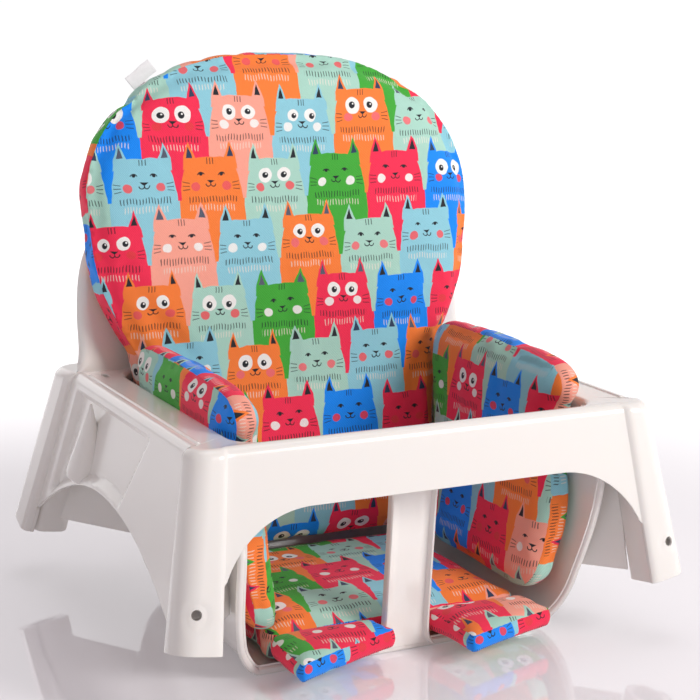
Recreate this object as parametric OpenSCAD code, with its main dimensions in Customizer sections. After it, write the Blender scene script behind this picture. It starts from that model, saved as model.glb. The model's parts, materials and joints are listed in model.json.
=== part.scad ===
// Baby high chair seat: moulded plastic seat shell with a padded, removable support cushion.
// Millimetres. Z is up and the floor is z = 0. The sitter faces -Y, and X = 0 is the middle plane.

/* [Seat shell] */
// Height of the armrest rim above the floor
rim_h = 196; // [185:1:205]
// Wall thickness of the moulding
wall = 3; // [2.4:0.1:3.6]
// Height of the moulded backrest above the floor
backrest_h = 360; // [330:1:390]
// Half width of the flat base
base_half = 111; // [105:1:116]
// Height where the skirts meet the rim
skirt_top = 180; // [176:1:184]
// Half width of the strap between the leg openings
post_half = 20; // [16:1:22]

/* [Leg sockets] */
// Radius of each socket bore
socket_r = 12.8; // [12.5:0.1:13.2]
// Depth of each socket bore along its own axis
socket_depth = 100; // [80:1:118]
// Radius of the snap button holes
button_r = 3.75; // [3:0.05:4.5]
// Height of the snap button holes above the foot, along the leg
button_h = 29; // [24:1:36]

/* [Cushion] */
// Thickness of the back pad
back_t = 34; // [26:1:38]
// Thickness of each side wing
wing_t = 24; // [18:1:26]
// Top of the seat pad
seat_top = 36; // [30:1:37]
// Thickness of the cover cloth as modelled
cloth = 1.4; // [1:0.1:2]
// Height of the top of the back pad
cushion_top = 465; // [440:1:480]

/* [Output] */
// Which piece to draw

/* [Hidden] */
plastic = [0.95, 0.945, 0.93];
cloth_a = [0.35, 0.7, 0.85];
cloth_b = [0.95, 0.45, 0.25];
cloth_c = [0.85, 0.2, 0.35];
gap = 0.1;
plate_top = rim_h - 5.5;

// ---------- helpers ----------
function flat(v) = [for (a = v) for (b = a) b];
// Straight-line lookup in a table of [key, value] rows.
function look(t, k) = lookup(k, t);
// Points of an arc, from angle a to angle b, in n steps.
function arc(cx, cy, r, a, b, n) =
    [for (i = [0 : n]) [cx + r * cos(a + (b - a) * i / n), cy + r * sin(a + (b - a) * i / n)]];
function at_z(p, z) = [for (q = p) [q[0], q[1], z]];
function mirror_x(p) = [for (i = [len(p) - 1 : -1 : 0]) [-p[i][0], p[i][1]]];

// Closed solid through a stack of rings with the same number of points, anticlockwise from above.
module loft(rings) {
    n = len(rings[0]);
    m = len(rings);
    polyhedron(
        points = flat(rings),
        faces = concat(
            [[for (i = [0 : n - 1]) i]],
            [[for (i = [n - 1 : -1 : 0]) (m - 1) * n + i]],
            [for (j = [0 : m - 2]) for (i = [0 : n - 1])
                [j * n + i, (j + 1) * n + i, (j + 1) * n + (i + 1) % n]],
            [for (j = [0 : m - 2]) for (i = [0 : n - 1])
                [j * n + i, (j + 1) * n + (i + 1) % n, j * n + (i + 1) % n]]
        ),
        convexity = 8);
}

// ---------- outline of the skirts and columns ----------
function drop(z) = rim_h - z;
function front_y(z) = -155 - 0.197 * drop(z);
function rear_y(z) = 168 + 0.35 * drop(z);
function front_in(z) = 170 + 0.109 * drop(z);
function rear_in(z) = 163 + 0.13 * drop(z);
function front_out(z) = 198.5 + 0.165 * drop(z);
function rear_out(z) = 200 + 0.18 * drop(z);
function panel_x(z) = 193 + 0.17 * drop(z);
function front_border(z) = -137.7 - 0.15 * drop(z);
function rear_border(z) = 124 + 0.36 * drop(z);

// Right half of the outline at height z, moved in by e, from the front middle to the rear middle.
function half_outline(z, e) = concat(
    [[front_in(z) - 2, front_y(z) + e], [front_in(z) + 1.5, front_y(z) - 2.2 + e],
        [front_in(z) + 5, front_y(z) - 3 + e]],
    arc(front_out(z) - 17, front_y(z) + 14, 17 - e, -82, 0, 7),
    [[front_out(z) - 0.8 - e, front_border(z) - 3], [panel_x(z) + 2.4 - e, front_border(z)],
        [panel_x(z) - e, front_border(z) + 0.8], [panel_x(z) - e, rear_border(z) - 0.8],
        [panel_x(z) + 2.4 - e, rear_border(z)], [rear_out(z) - 1 - e, rear_border(z) + 4]],
    arc(rear_out(z) - 20, rear_y(z) - 20, 20 - e, 0, 84, 7),
    [[rear_in(z) + 3, rear_y(z) - e], [rear_in(z), rear_y(z) - 2 - e]]
);
function outline(z, e) = concat(half_outline(z, e), mirror_x(half_outline(z, e)));

// ---------- tub ----------
half_tab = [[0, base_half], [3, 121], [8, 129], [15, 135], [25, 141], [38, 145], [55, 148],
    [80, 151], [103, 153], [146, 156], [190, 158]];
rear_tab = [[0, 98], [3, 106], [8, 112], [15, 117], [25, 121], [38, 125], [55, 128],
    [80, 131], [103, 133], [146, 136], [190, 139]];
lip_tab = [[0, -98], [2, -103], [5, -107], [33, -122], [55, -129], [103, -144], [125, -148],
    [190, -150]];
tub_z = [0, 3, 8, 15, 25, 38, 55, 80, 103, 146, 190];
function half_w(z) = look(half_tab, z);
// One tub ring: straight to the front, rounded at the rear, grown by g.
function tub_ring(z, g, front) =
    let (h = half_w(z) + g, r = 30 + g + z * 0.06, yr = look(rear_tab, z) + g)
    at_z(concat([[h, front]], arc(h - r, yr - r, r, 0, 90, 7),
        arc(-h + r, yr - r, r, 90, 180, 7), [[-h, front]]), z);
module tub_solid(g, lift, front) {
    translate([0, 0, lift])
        loft([for (z = tub_z) tub_ring(z, g, front)]);
}
// Everything behind the front edge line, moved back by b, from the floor to z = top.
module behind_lip(b, top) {
    rotate([90, 0, 90])
        linear_extrude(height = 2 * 180, center = true)
            polygon(concat([for (r = lip_tab) if (r[0] < top) [r[1] + b, r[0]]],
                [[look(lip_tab, top) + b, top], [200, top], [200, 0]]));
}
module tub_wall() {
    difference() {
        tub_solid(0, 0, -170);
        tub_solid(-wall, wall, -175);
    }
}
module seat_tub() {
    color(plastic)
        intersection() {
            tub_wall();
            behind_lip(5, 190);
        }
}
module tub_front_lip() {
    color(plastic)
        difference() {
            intersection() {
                tub_solid(1.6, 0, -170);
                behind_lip(0, 146);
            }
            behind_lip(5 - gap, 147);
            tub_solid(-wall, wall, -175);
        }
}
// Middle line of the inner front wall and of the strap below it.
function inner_y(z) = z > 146 ? -139 + (194 - z) * 0.44 : -117.9 + (146 - z) * 0.079;
module crotch_post() {
    color(plastic)
        difference() {
            rotate([90, 0, 90])
                linear_extrude(height = 2 * post_half, center = true)
                    polygon([[inner_y(9) - 4, 9], [inner_y(9), 9], [inner_y(146), 146 - gap],
                        [inner_y(146) - 4, 146 - gap]]);
            translate([0, 0, -14])
                rotate([90, 0, 0])
                    cylinder(h = 300, r = 28, center = true, $fn = 64);
        }
    color(plastic)
        for (s = [-1, 1])
            rotate([90, 0, 90])
                translate([0, 0, s * (post_half - 1.5)])
                    linear_extrude(height = 3, center = true)
                        polygon([[inner_y(9) - 8, 9], [inner_y(9) - 3, 9],
                            [inner_y(146) - 3, 146 - gap], [inner_y(146) - 8, 146 - gap]]);
}
module inner_front_wall() {
    color(plastic)
        rotate([90, 0, 90])
            linear_extrude(height = 2 * (half_w(150) - wall - gap), center = true)
                polygon([[inner_y(146.01) - 8, 146], [inner_y(146.01), 146],
                    [inner_y(plate_top), plate_top - gap], [inner_y(plate_top) - 3, plate_top - gap],
                    [inner_y(150) - 3, 150]]);
}

// ---------- rim ----------
// Right half of the tub opening, grown by g, with as many points as half_outline.
function half_hole(g) = concat(
    arc(133 + g, -117 - g, 22, -90, 0, 9),
    arc(123 + g, 98 + g, 32, 0, 90, 16)
);
function hole_ring(z, g) = at_z(concat(half_hole(g), mirror_x(half_hole(g))), z);
// Closed frame through rings that go round a hole, each with the same number of points.
module ring_frame(rings) {
    n = len(rings[0]);
    m = len(rings);
    polyhedron(
        points = flat(rings),
        faces = concat(
            [for (j = [0 : m - 1]) for (i = [0 : n - 1])
                [j * n + i, ((j + 1) % m) * n + i, ((j + 1) % m) * n + (i + 1) % n]],
            [for (j = [0 : m - 1]) for (i = [0 : n - 1])
                [j * n + i, ((j + 1) % m) * n + (i + 1) % n, j * n + (i + 1) % n]]
        ),
        convexity = 8);
}
module rim_slot(s) {
    translate([s * 171, 108, plate_top])
        for (k = [0 : 1])
            translate([0, k * 9 - 4.5, -2])
                cylinder(h = 12, r = 2.4, $fn = 24);
    translate([s * 171, 108, plate_top])
        translate([-2.4, -4.5, -2])
            cube([4.8, 9, 12]);
}
// Raised bead along the armrest edge.
module tray_rail(s) {
    color(plastic)
        difference() {
            translate([s * 183.4, -134, rim_h - 0.4])
                rotate([-90, 0, 0])
                    cylinder(h = 246, r = 2, $fn = 24);
            translate([s * 183.4 - 10, -150, rim_h - 19.98])
                cube([20, 300, 20]);
        }
}
module left_tray_rail() {
    tray_rail(-1);
}
module right_tray_rail() {
    tray_rail(1);
}
module armrest_rim() {
    color(plastic)
        difference() {
            ring_frame([at_z(outline(skirt_top, 0), skirt_top), at_z(outline(187, 0), 187),
                at_z(outline(191.5, 0.6), 191.5), at_z(outline(193.8, 1.9), 193.8),
                at_z(outline(195.2, 3.6), 195.2), at_z(outline(rim_h, 6.2), rim_h),
                hole_ring(rim_h - 1.4, 1.6), hole_ring(rim_h - 3, 0), hole_ring(plate_top, 0),
                at_z(outline(plate_top, wall), plate_top), at_z(outline(skirt_top, wall), skirt_top)]);
            rim_slot(-1);
            rim_slot(1);
        }
}

// ---------- skirts ----------
tilt_f = atan(0.197);
tilt_r = atan(0.35);
tilt_s = atan(0.17);
function down(z, a) = (rim_h - z) / cos(a);
module front_apron() {
    top = skirt_top - gap;
    color(plastic)
        translate([0, -155, rim_h])
            rotate([90 - tilt_f, 0, 0])
                translate([0, 0, -wall])
                    linear_extrude(height = wall)
                        difference() {
                            polygon([[front_in(top), -down(top, tilt_f)],
                                [front_in(100), -down(100, tilt_f)],
                                [-front_in(100), -down(100, tilt_f)],
                                [-front_in(top), -down(top, tilt_f)]]);
                            for (s = [-1, 1])
                                translate([s * 107, -down(71, tilt_f)])
                                    circle(r = 78, $fn = 96);
                            translate([-107, -down(60, tilt_f)])
                                square([214, down(60, tilt_f) - down(149, tilt_f)]);
                        }
}
module rear_apron() {
    top = skirt_top - gap;
    color(plastic)
        translate([0, 166, rim_h])
            rotate([90 + tilt_r, 0, 0])
                linear_extrude(height = wall)
                    difference() {
                        polygon([[rear_in(top), -down(top, tilt_r)], [rear_in(80), -down(80, tilt_r)],
                            [-rear_in(80), -down(80, tilt_r)], [-rear_in(top), -down(top, tilt_r)]]);
                        for (s = [-1, 1])
                            translate([s * 105, -down(60, tilt_r)])
                                circle(r = 70, $fn = 96);
                        translate([-105, -down(60, tilt_r)])
                            square([210, 70]);
                    }
}
function side_arch(y) = 119.5 - (y > 22 ? pow(y - 22, 2) / 428 : pow(y - 22, 2) / 600);
module side_plate(s) {
    top = skirt_top - gap;
    low = 66;
    mirror([s < 0 ? 1 : 0, 0, 0])
        translate([193, 0, rim_h])
            rotate([0, -tilt_s, 0])
                rotate([90, 0, 90])
                    translate([0, 0, -wall])
                        difference() {
                            linear_extrude(height = wall)
                                polygon(concat(
                                    [[front_border(top) + 1, -down(top, tilt_s)]],
                                    [[front_border(low) + 1, -down(low, tilt_s)]],
                                    [for (y = [-152 : 8 : 168]) if (side_arch(y) > low)
                                        [y, -down(side_arch(y), tilt_s)]],
                                    [[rear_border(low) - 1, -down(low, tilt_s)]],
                                    [[rear_border(top) - 1, -down(top, tilt_s)]]));
                            translate([0, 0, wall - 1.2])
                                linear_extrude(height = 5)
                                    polygon([[60, -down(186, tilt_s)], [-64, -down(186, tilt_s)],
                                        [-24, -down(126, tilt_s)], [0, -down(123, tilt_s)],
                                        [52, -down(123, tilt_s)]]);
                        }
}
// Half cone gusset on the side panel.
module side_gusset(s) {
    mirror([s < 0 ? 1 : 0, 0, 0])
        difference() {
            translate([196, 86, 119])
                rotate([-20, -4, 0])
                    cylinder(h = 66, r1 = 19, r2 = 1, $fn = 48);
            translate([193 - wall - 40, -100, rim_h])
                rotate([0, -tilt_s, 0])
                    translate([0, 0, -150])
                        cube([40, 300, 150]);
        }
}
// Side panel with its gusset, cut clear of the front leg socket.
module side_panel(s) {
    color(plastic) {
        difference() {
            side_plate(s);
            mirror([s < 0 ? 1 : 0, 0, 0])
                turned(front_foot, front_axis)
                    translate([0, 0, -socket_depth - 0.2])
                        cylinder(h = socket_depth + 60, r = socket_r + 0.25, $fn = 96);
        }
        side_gusset(s);
    }
}
module left_side_panel() {
    side_panel(-1);
}
module right_side_panel() {
    side_panel(1);
}

// ---------- leg sockets ----------
// Where the inner face of the side panel runs at height z.
function panel_in(z) = panel_x(z) - wall - 0.3;
// Cross section of a front column at height z.
function front_section(z) =
    let (f = front_y(z), i = front_in(z) + gap, o = front_out(z), b = front_border(z), q = panel_in(z))
    at_z(concat([[i, f + 1], [i + 1.5, f - 2.2], [i + 5, f - 3]], arc(o - 17, f + 14, 17, -82, 0, 7),
        [[o - 0.8, b - 3], [panel_x(z) + 2.4, b], [q, b + 0.4]],
        arc(q - 9, f + 26, 9, 0, 90, 3), arc(i + 9, f + 26, 9, 90, 180, 3)), z);
// Cross section of a rear column at height z.
function rear_section(z) =
    let (r = rear_y(z), i = rear_in(z) + gap, o = rear_out(z), b = rear_border(z), q = panel_in(z))
    at_z(concat(arc(i + 9, r - 33, 9, 180, 270, 3), arc(q - 9, r - 33, 9, 270, 360, 3),
        [[q, b - 0.4], [panel_x(z) + 2.4, b], [o - 1, b + 4]], arc(o - 20, r - 20, 20, 0, 84, 7),
        [[i + 3, r], [i, r - 3]]), z);
front_axis = [0.153, -0.19, -1];
rear_axis = [0.168, 0.335, -1];
front_foot = [201.8, -163.5, 52];
rear_foot = [204.5, 196, 48];
module turned(p, a) {
    translate(p)
        rotate([0, atan2(norm([a[0], a[1]]), a[2]), atan2(a[1], a[0])])
            children();
}
module column(sections, foot, axis, wall_ends) {
    difference() {
        union() {
            loft(sections);
            loft(wall_ends);
        }
        turned(foot, axis)
            translate([-60, -60, 0])
                cube([120, 120, 60]);
        turned(foot, axis)
            translate([0, 0, -socket_depth])
                cylinder(h = socket_depth + 30, r = socket_r, $fn = 96);
        turned(foot, axis)
            translate([0, 0, -button_h])
                button_bore(foot[1] < 0 ? -1 : 1);
    }
}
// The snap button hole points to the front on the front legs and to the back on the rear legs.
module button_bore(s) {
    rotate([0, -90, s < 0 ? 22 : -10])
        cylinder(h = 45, r = button_r, $fn = 48);
}
module front_socket() {
    column([front_section(36), front_section(skirt_top - gap)], front_foot, front_axis,
        [at_z([[190.5, -154.5], [192, -151.5], [149.4, -107], [150.5, -110]], 54),
            at_z([[171.5, -130], [174, -127], [160, -107], [160, -110]], skirt_top - gap)]);
}
module rear_socket() {
    column([rear_section(30), rear_section(skirt_top - gap)], rear_foot, rear_axis,
        [at_z([[150, 110], [150, 106], [198, 182], [194, 182]], 54),
            at_z([[154, 121], [160, 119], [172, 144], [168, 146]], skirt_top - gap)]);
}
module front_left_socket() {
    color(plastic)
        mirror([1, 0, 0])
            front_socket();
}
module front_right_socket() {
    color(plastic)
        front_socket();
}
module rear_left_socket() {
    color(plastic)
        mirror([1, 0, 0])
            rear_socket();
}
module rear_right_socket() {
    color(plastic)
        rear_socket();
}

// ---------- backrest ----------
back_tab = [[0, 191], [0.06, 187], [0.14, 185], [0.3, 184.5], [0.48, 181], [0.62, 173], [0.75, 158],
    [0.85, 138], [0.92, 114], [0.97, 80], [1, 34]];
back_steps = [0, 0.06, 0.14, 0.3, 0.48, 0.62, 0.75, 0.85, 0.92, 0.97, 1];
function backrest_y(x, z) = 140 + 0.18 * (z - rim_h) - 14 * pow(x / 185, 2);
function backrest_ring(t) = let (w = look(back_tab, t), z = rim_h + gap + (backrest_h - rim_h) * t)
    concat([for (k = [-6 : 6]) [w * k / 6, backrest_y(w * k / 6, z) - 2, z]],
        [for (k = [6 : -1 : -6]) [w * k / 6, backrest_y(w * k / 6, z) + 2, z]]);
module backrest() {
    color(plastic)
        loft([for (t = back_steps) backrest_ring(t)]);
}

// ---------- cushion ----------
// Soft slab in its own plane: the outline grows from the faces to the middle of the thickness.
function shrink(p, c, k) =
    [for (q = p) [c[0] + (q[0] - c[0]) * (1 - k), c[1] + (q[1] - c[1]) * (1 - k)]];
// Rows of [share of the thickness, share taken off the outline].
pad_rows = [[0, 0.11], [0.16, 0.035], [0.34, 0.008], [0.5, 0], [0.66, 0.008], [0.84, 0.035],
    [1, 0.11]];
function pad_ring(p, c, t, i, r) = at_z(shrink(p, c, r[1] + i / 60), i + (t - 2 * i) * r[0]);
module pad(p, c, t, inset) {
    loft([for (r = pad_rows) pad_ring(p, c, t, inset, r)]);
}
// Cloth over one face of a pad, the upper one or the lower one, open towards the middle.
module pad_face(p, c, t, up) {
    rows = up ? [6, 5, 4] : [0, 1, 2];
    inside = [for (k = rows) pad_ring(p, c, t, cloth, pad_rows[k])];
    outside = [for (k = [2, 1, 0]) pad_ring(p, c, t, 0, pad_rows[rows[k]])];
    edge = at_z(shrink(p, c, pad_rows[4][1] + cloth / 60), t * pad_rows[rows[2]][0]);
    if (up)
        loft(concat([inside[0], inside[1], edge], outside));
    else
        loft(concat([outside[2], outside[1], outside[0]], [edge, inside[1], inside[0]]));
}
// Closed band of cloth round the middle of a pad.
module pad_strip(p, c, t) {
    h = [t * pad_rows[2][0] + gap, t / 2, t * pad_rows[4][0] - gap];
    k = [pad_rows[2][1], 0, pad_rows[4][1]];
    rings = concat([for (i = [0 : 2]) at_z(shrink(p, c, k[i]), h[i])],
        [for (i = [2 : -1 : 0]) at_z(shrink(p, c, k[i] + cloth / 60), h[i])]);
    ring_frame(rings);
}
lean = atan(0.165);
back_half = [[0, 102], [14, 122], [60, 133], [100, 138], [146, 146], [160, 150], [180, 160], [215, 174],
    [255, 181], [300, 181], [335, 172], [362, 154], [384, 128], [400, 98], [410, 66], [415, 33]];
back_pts = concat([for (r = back_half) [r[1], r[0]]], [[0, cushion_top - 49]],
    [for (i = [len(back_half) - 1 : -1 : 0]) [-back_half[i][1], back_half[i][0]]]);
module place_back() {
    translate([0, 100, 48])
        rotate([90 - lean, 0, 0])
            children();
}
module back_pad(inset) {
    place_back()
        pad(back_pts, [0, 215], back_t, inset);
}
module back_cover_front() {
    color(cloth_a)
        place_back()
            pad_face(back_pts, [0, 215], back_t, true);
}
module back_side_strip() {
    color(cloth_b)
        place_back()
            pad_strip(back_pts, [0, 215], back_t);
}
module back_cover_rear() {
    color(cloth_c)
        place_back()
            pad_face(back_pts, [0, 215], back_t, false);
}
module back_filling() {
    color([0.93, 0.93, 0.9])
        back_pad(cloth + 0.5);
}
wing_pts = [[-88, 44], [-104, 60], [-110, 90], [-112, 150], [-114, 185], [-122, 200], [-120, 212],
    [-106, 221], [-80, 226], [-30, 229], [30, 228], [70, 224], [84, 214], [86, 196], [80, 160],
    [66, 80], [58, 56], [40, 46]];
// The wing stands against the side wall and leans out with it.
module wing(s, inset) {
    mirror([s > 0 ? 1 : 0, 0, 0])
        multmatrix([[1, 0, -0.065, -142 + 44 * 0.065], [0, 1, 0, 0], [0, 0, 1, 0], [0, 0, 0, 1]])
            rotate([90, 0, 90])
                pad([for (i = [len(wing_pts) - 1 : -1 : 0]) wing_pts[i]], [-12, 140], wing_t, inset);
}
module wing_cover(s) {
    difference() {
        wing(s, 0);
        wing(s, cloth);
    }
}
module left_wing_cover() {
    color(cloth_a)
        wing_cover(-1);
}
module left_wing_filling() {
    color([0.93, 0.93, 0.9])
        wing(-1, cloth + 0.5);
}
module right_wing_cover() {
    color(cloth_a)
        wing_cover(1);
}
module right_wing_filling() {
    color([0.93, 0.93, 0.9])
        wing(1, cloth + 0.5);
}
seat_pts = concat(arc(90, -80, 18, -90, 0, 4), arc(82, 66, 24, 0, 90, 4), arc(-82, 66, 24, 90, 180, 4),
    arc(-90, -80, 18, 180, 270, 4));
module seat_pad(inset) {
    translate([0, 0, 3.6])
        pad(seat_pts, [0, -5], seat_top - 3.6, inset);
}
module seat_cover() {
    color(cloth_a)
        difference() {
            seat_pad(0);
            seat_pad(cloth);
        }
}
module seat_filling() {
    color([0.93, 0.93, 0.9])
        seat_pad(cloth + 0.5);
}
right_flap_pts = [[28, -101], [29, -130], [33, -165], [112, -140], [117, -128], [110, -101]];
left_flap_pts = [[-108, -101], [-115, -130], [-111, -163], [-19, -128], [-26, -116], [-26, -101]];
module flap(p, c) {
    translate([0, 0, 11])
        pad(p, c, 22, 0);
}
module left_seat_flap() {
    color(cloth_b)
        flap(left_flap_pts, [-68, -128]);
}
module right_seat_flap() {
    color(cloth_b)
        flap(right_flap_pts, [70, -128]);
}

// ---------- small trim ----------
module label_tag() {
    color([0.97, 0.97, 0.97])
        place_back()
            translate([-118, 392, back_t / 2])
                rotate([0, 0, 38])
                    translate([-13, 0.5, -0.6])
                        cube([26, 13, 1.2]);
}
zip_s = 350;
zip_len = 220;
module zip_tape() {
    color([0.9, 0.9, 0.9])
        place_back()
            translate([-zip_len / 2, zip_s - 12, -1.1])
                cube([zip_len, 24, 1]);
}
module zip_coil() {
    color([0.85, 0.85, 0.85])
        place_back()
            translate([-zip_len / 2 + 6, zip_s - 2.2, -2.6])
                cube([zip_len - 12, 4.4, 1.4]);
}
module zip_slider() {
    color([0.75, 0.75, 0.75])
        place_back()
            translate([-zip_len / 2 + 16, zip_s, -2.7])
                difference() {
                    translate([-5.5, -4.2, -1.7])
                        cube([11, 8.4, 3]);
                    translate([-9, -2.4, -0.1])
                        cube([18, 4.8, 3]);
                }
}
module zip_pull() {
    color([0.75, 0.75, 0.75])
        place_back()
            translate([-zip_len / 2 + 16, zip_s, -5.2])
                difference() {
                    translate([-2.6, -20, -0.8])
                        cube([5.2, 22, 1.3]);
                    translate([0, -16.5, -3])
                        cylinder(h = 6, r = 1.4, $fn = 32);
                }
}

// ---------- output ----------
seat_tub();
tub_front_lip();
crotch_post();
inner_front_wall();
armrest_rim();
left_tray_rail();
right_tray_rail();
front_apron();
rear_apron();
left_side_panel();
right_side_panel();
front_left_socket();
front_right_socket();
rear_left_socket();
rear_right_socket();
backrest();
back_cover_front();
back_cover_rear();
back_side_strip();
back_filling();
left_wing_cover();
left_wing_filling();
right_wing_cover();
right_wing_filling();
seat_cover();
seat_filling();
left_seat_flap();
right_seat_flap();
label_tag();
zip_tape();
zip_coil();
zip_slider();
zip_pull();
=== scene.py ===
"""Looks for the baby high chair seat: a glossy moulded shell with a padded, printed support cushion."""
import json
import math
import bpy
import bmesh
import numpy as np
from mathutils import Matrix, Vector
from mathutils.geometry import delaunay_2d_cdt


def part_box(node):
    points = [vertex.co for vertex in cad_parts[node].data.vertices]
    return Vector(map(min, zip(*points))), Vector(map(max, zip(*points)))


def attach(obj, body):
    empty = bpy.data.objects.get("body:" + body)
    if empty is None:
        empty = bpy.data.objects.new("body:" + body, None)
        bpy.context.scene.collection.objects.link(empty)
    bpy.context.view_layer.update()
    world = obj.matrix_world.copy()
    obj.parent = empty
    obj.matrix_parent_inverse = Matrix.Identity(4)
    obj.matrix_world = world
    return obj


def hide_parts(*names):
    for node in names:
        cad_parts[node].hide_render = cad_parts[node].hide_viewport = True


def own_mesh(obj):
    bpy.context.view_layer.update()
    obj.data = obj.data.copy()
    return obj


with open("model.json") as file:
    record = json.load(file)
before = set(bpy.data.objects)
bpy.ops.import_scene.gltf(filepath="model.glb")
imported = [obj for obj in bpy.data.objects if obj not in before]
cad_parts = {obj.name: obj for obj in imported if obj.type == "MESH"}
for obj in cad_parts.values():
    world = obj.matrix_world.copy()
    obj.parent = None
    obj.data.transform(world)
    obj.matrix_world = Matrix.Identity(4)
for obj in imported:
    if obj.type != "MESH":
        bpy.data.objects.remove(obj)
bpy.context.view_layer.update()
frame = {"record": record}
SHELL_NODES = frame["record"]["behaviour"]["bodies"]["shell"]
MM = 0.001
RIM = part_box("armrest_rim")[1][2] / MM          # height of the rim's top
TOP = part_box("backrest")[1][2] / MM             # height of the moulded backrest
WALL = 3.0                                      # wall of the moulding
SIDES = (1, -1)                                 # right and left


# ---------------------------------------------------------------- camera, light and floor
CAMERA_AT = (-0.6213, -1.2375, 0.5092)
YAW, PITCH_DOWN, ROLL = 0.468, 0.203, 0.014
BACKDROP = (1.0, 0.995, 1.0, 1)


def add_camera():
    level = math.cos(PITCH_DOWN)
    fwd = Vector((math.sin(YAW) * level, math.cos(YAW) * level, -math.sin(PITCH_DOWN)))
    right = Vector((math.cos(YAW), -math.sin(YAW), 0))
    up = right.cross(fwd)
    r2 = right * math.cos(ROLL) + up * math.sin(ROLL)
    u2 = -right * math.sin(ROLL) + up * math.cos(ROLL)
    data = bpy.data.cameras.new("camera")
    data.lens, data.sensor_width = 88.04, 36
    data.clip_start, data.clip_end = 0.05, 60
    cam = bpy.data.objects.new("camera", data)
    bpy.context.scene.collection.objects.link(cam)
    m = Matrix((r2, u2, -fwd)).transposed().to_4x4()
    m.translation = Vector(CAMERA_AT)
    cam.matrix_world = m
    bpy.context.scene.camera = cam


def add_area(name, loc, target, size, power, color=(1, 1, 1)):
    data = bpy.data.lights.new(name, "AREA")
    data.energy, data.size, data.color = power, size, color
    o = bpy.data.objects.new(name, data)
    bpy.context.scene.collection.objects.link(o)
    o.location = loc
    o.rotation_euler = (Vector(target) - Vector(loc)).to_track_quat("-Z", "Y").to_euler()


def new_material(name):
    mat = bpy.data.materials.new(name)
    mat.use_nodes = True
    nt = mat.node_tree
    return mat, nt, nt.nodes["Principled BSDF"]


def new_node(nt, kind, values=(), **settings):
    """Shader node with its settings, and the values of its inputs by name."""
    n = nt.nodes.new("ShaderNode" + kind)
    for key, value in settings.items():
        setattr(n, key, value)
    return give(n, dict(values))


def give(node, values):
    for key, value in values.items():
        node.inputs[key].default_value = value
    return node


def add_world():
    world = bpy.data.worlds.new("studio")
    bpy.context.scene.world = world
    world.use_nodes = True
    nt = world.node_tree
    bright = give(nt.nodes["Background"], {"Color": BACKDROP, "Strength": 1.02})
    # the fill on matt surfaces is dimmer and pinker than the backdrop
    fill = new_node(nt, "Background", {"Color": (1.0, 0.86, 0.9, 1), "Strength": 0.31})
    path = new_node(nt, "LightPath")
    mix = new_node(nt, "MixShader")
    nt.links.new(path.outputs["Is Diffuse Ray"], mix.inputs["Fac"])
    nt.links.new(bright.outputs[0], mix.inputs[1])
    nt.links.new(fill.outputs[0], mix.inputs[2])
    nt.links.new(mix.outputs[0], nt.nodes["World Output"].inputs["Surface"])


def floor_gloss():
    """Glossy sheet that glows to plain white away from the object."""
    mat, nt, p = new_material("floor_gloss")
    give(p, {"Base Color": (0.90, 0.87, 0.915, 1), "Roughness": 0.05, "Specular IOR Level": 0.8,
             "Coat Weight": 0.6, "Coat Roughness": 0.02, "Emission Color": BACKDROP})
    place = new_node(nt, "TexCoord")
    away = new_node(nt, "VectorMath", operation="LENGTH")
    fade = new_node(nt, "MapRange", {"From Min": 0.42, "From Max": 1.25, "To Min": 0.08, "To Max": 0.7},
                    interpolation_type="SMOOTHSTEP")
    nt.links.new(place.outputs["Object"], away.inputs[0])
    nt.links.new(away.outputs["Value"], fade.inputs["Value"])
    nt.links.new(fade.outputs["Result"], p.inputs["Emission Strength"])
    return mat


def add_stage():
    bpy.context.scene.view_settings.view_transform = "Standard"
    add_world()
    me = bpy.data.meshes.new("floor")
    half = 7.0
    corners = [(-half, -half, 0), (half, -half, 0), (half, half, 0), (-half, half, 0)]
    me.from_pydata(corners, [], [(0, 1, 2, 3)])
    me.materials.append(floor_gloss())
    floor = bpy.data.objects.new("floor", me)
    bpy.context.scene.collection.objects.link(floor)
    add_area("key", (1.35, -1.9, 1.35), (0, 0, 0.2), 0.9, 42, (1, 0.985, 0.96))
    add_area("top", (0.2, 0.1, 2.4), (0, 0, 0.2), 1.4, 9)
    add_area("back", (-0.6, 2.2, 1.2), (0, 0, 0.3), 1.6, 8)


# ---------------------------------------------------------------- mesh helpers
def make(name, verts, faces, mats=(), smooth=True, sharp=32):
    """Object from points in millimetres."""
    me = bpy.data.meshes.new(name)
    me.from_pydata([tuple(c * MM for c in v) for v in verts], [], [tuple(f) for f in faces])
    me.validate()
    o = bpy.data.objects.new(name, me)
    bpy.context.scene.collection.objects.link(o)
    for m in mats:
        me.materials.append(m)
    tidy_normals(o)
    if smooth:
        shade(o, sharp)
    return o


def tidy_normals(o):
    bm = bmesh.new()
    bm.from_mesh(o.data)
    bmesh.ops.remove_doubles(bm, verts=bm.verts, dist=1e-6)
    bmesh.ops.recalc_face_normals(bm, faces=bm.faces)
    bm.to_mesh(o.data)
    bm.free()


def shade(o, sharp=32):
    me = o.data
    me.polygons.foreach_set("use_smooth", [True] * len(me.polygons))
    if sharp:
        me.set_sharp_from_angle(angle=math.radians(sharp))
    me.update()


def bake_modifiers(o):
    bpy.context.view_layer.update()
    deps = bpy.context.evaluated_depsgraph_get()
    me = bpy.data.meshes.new_from_object(o.evaluated_get(deps))
    o.modifiers.clear()
    old = o.data
    o.data = me
    bpy.data.meshes.remove(old)


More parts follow.
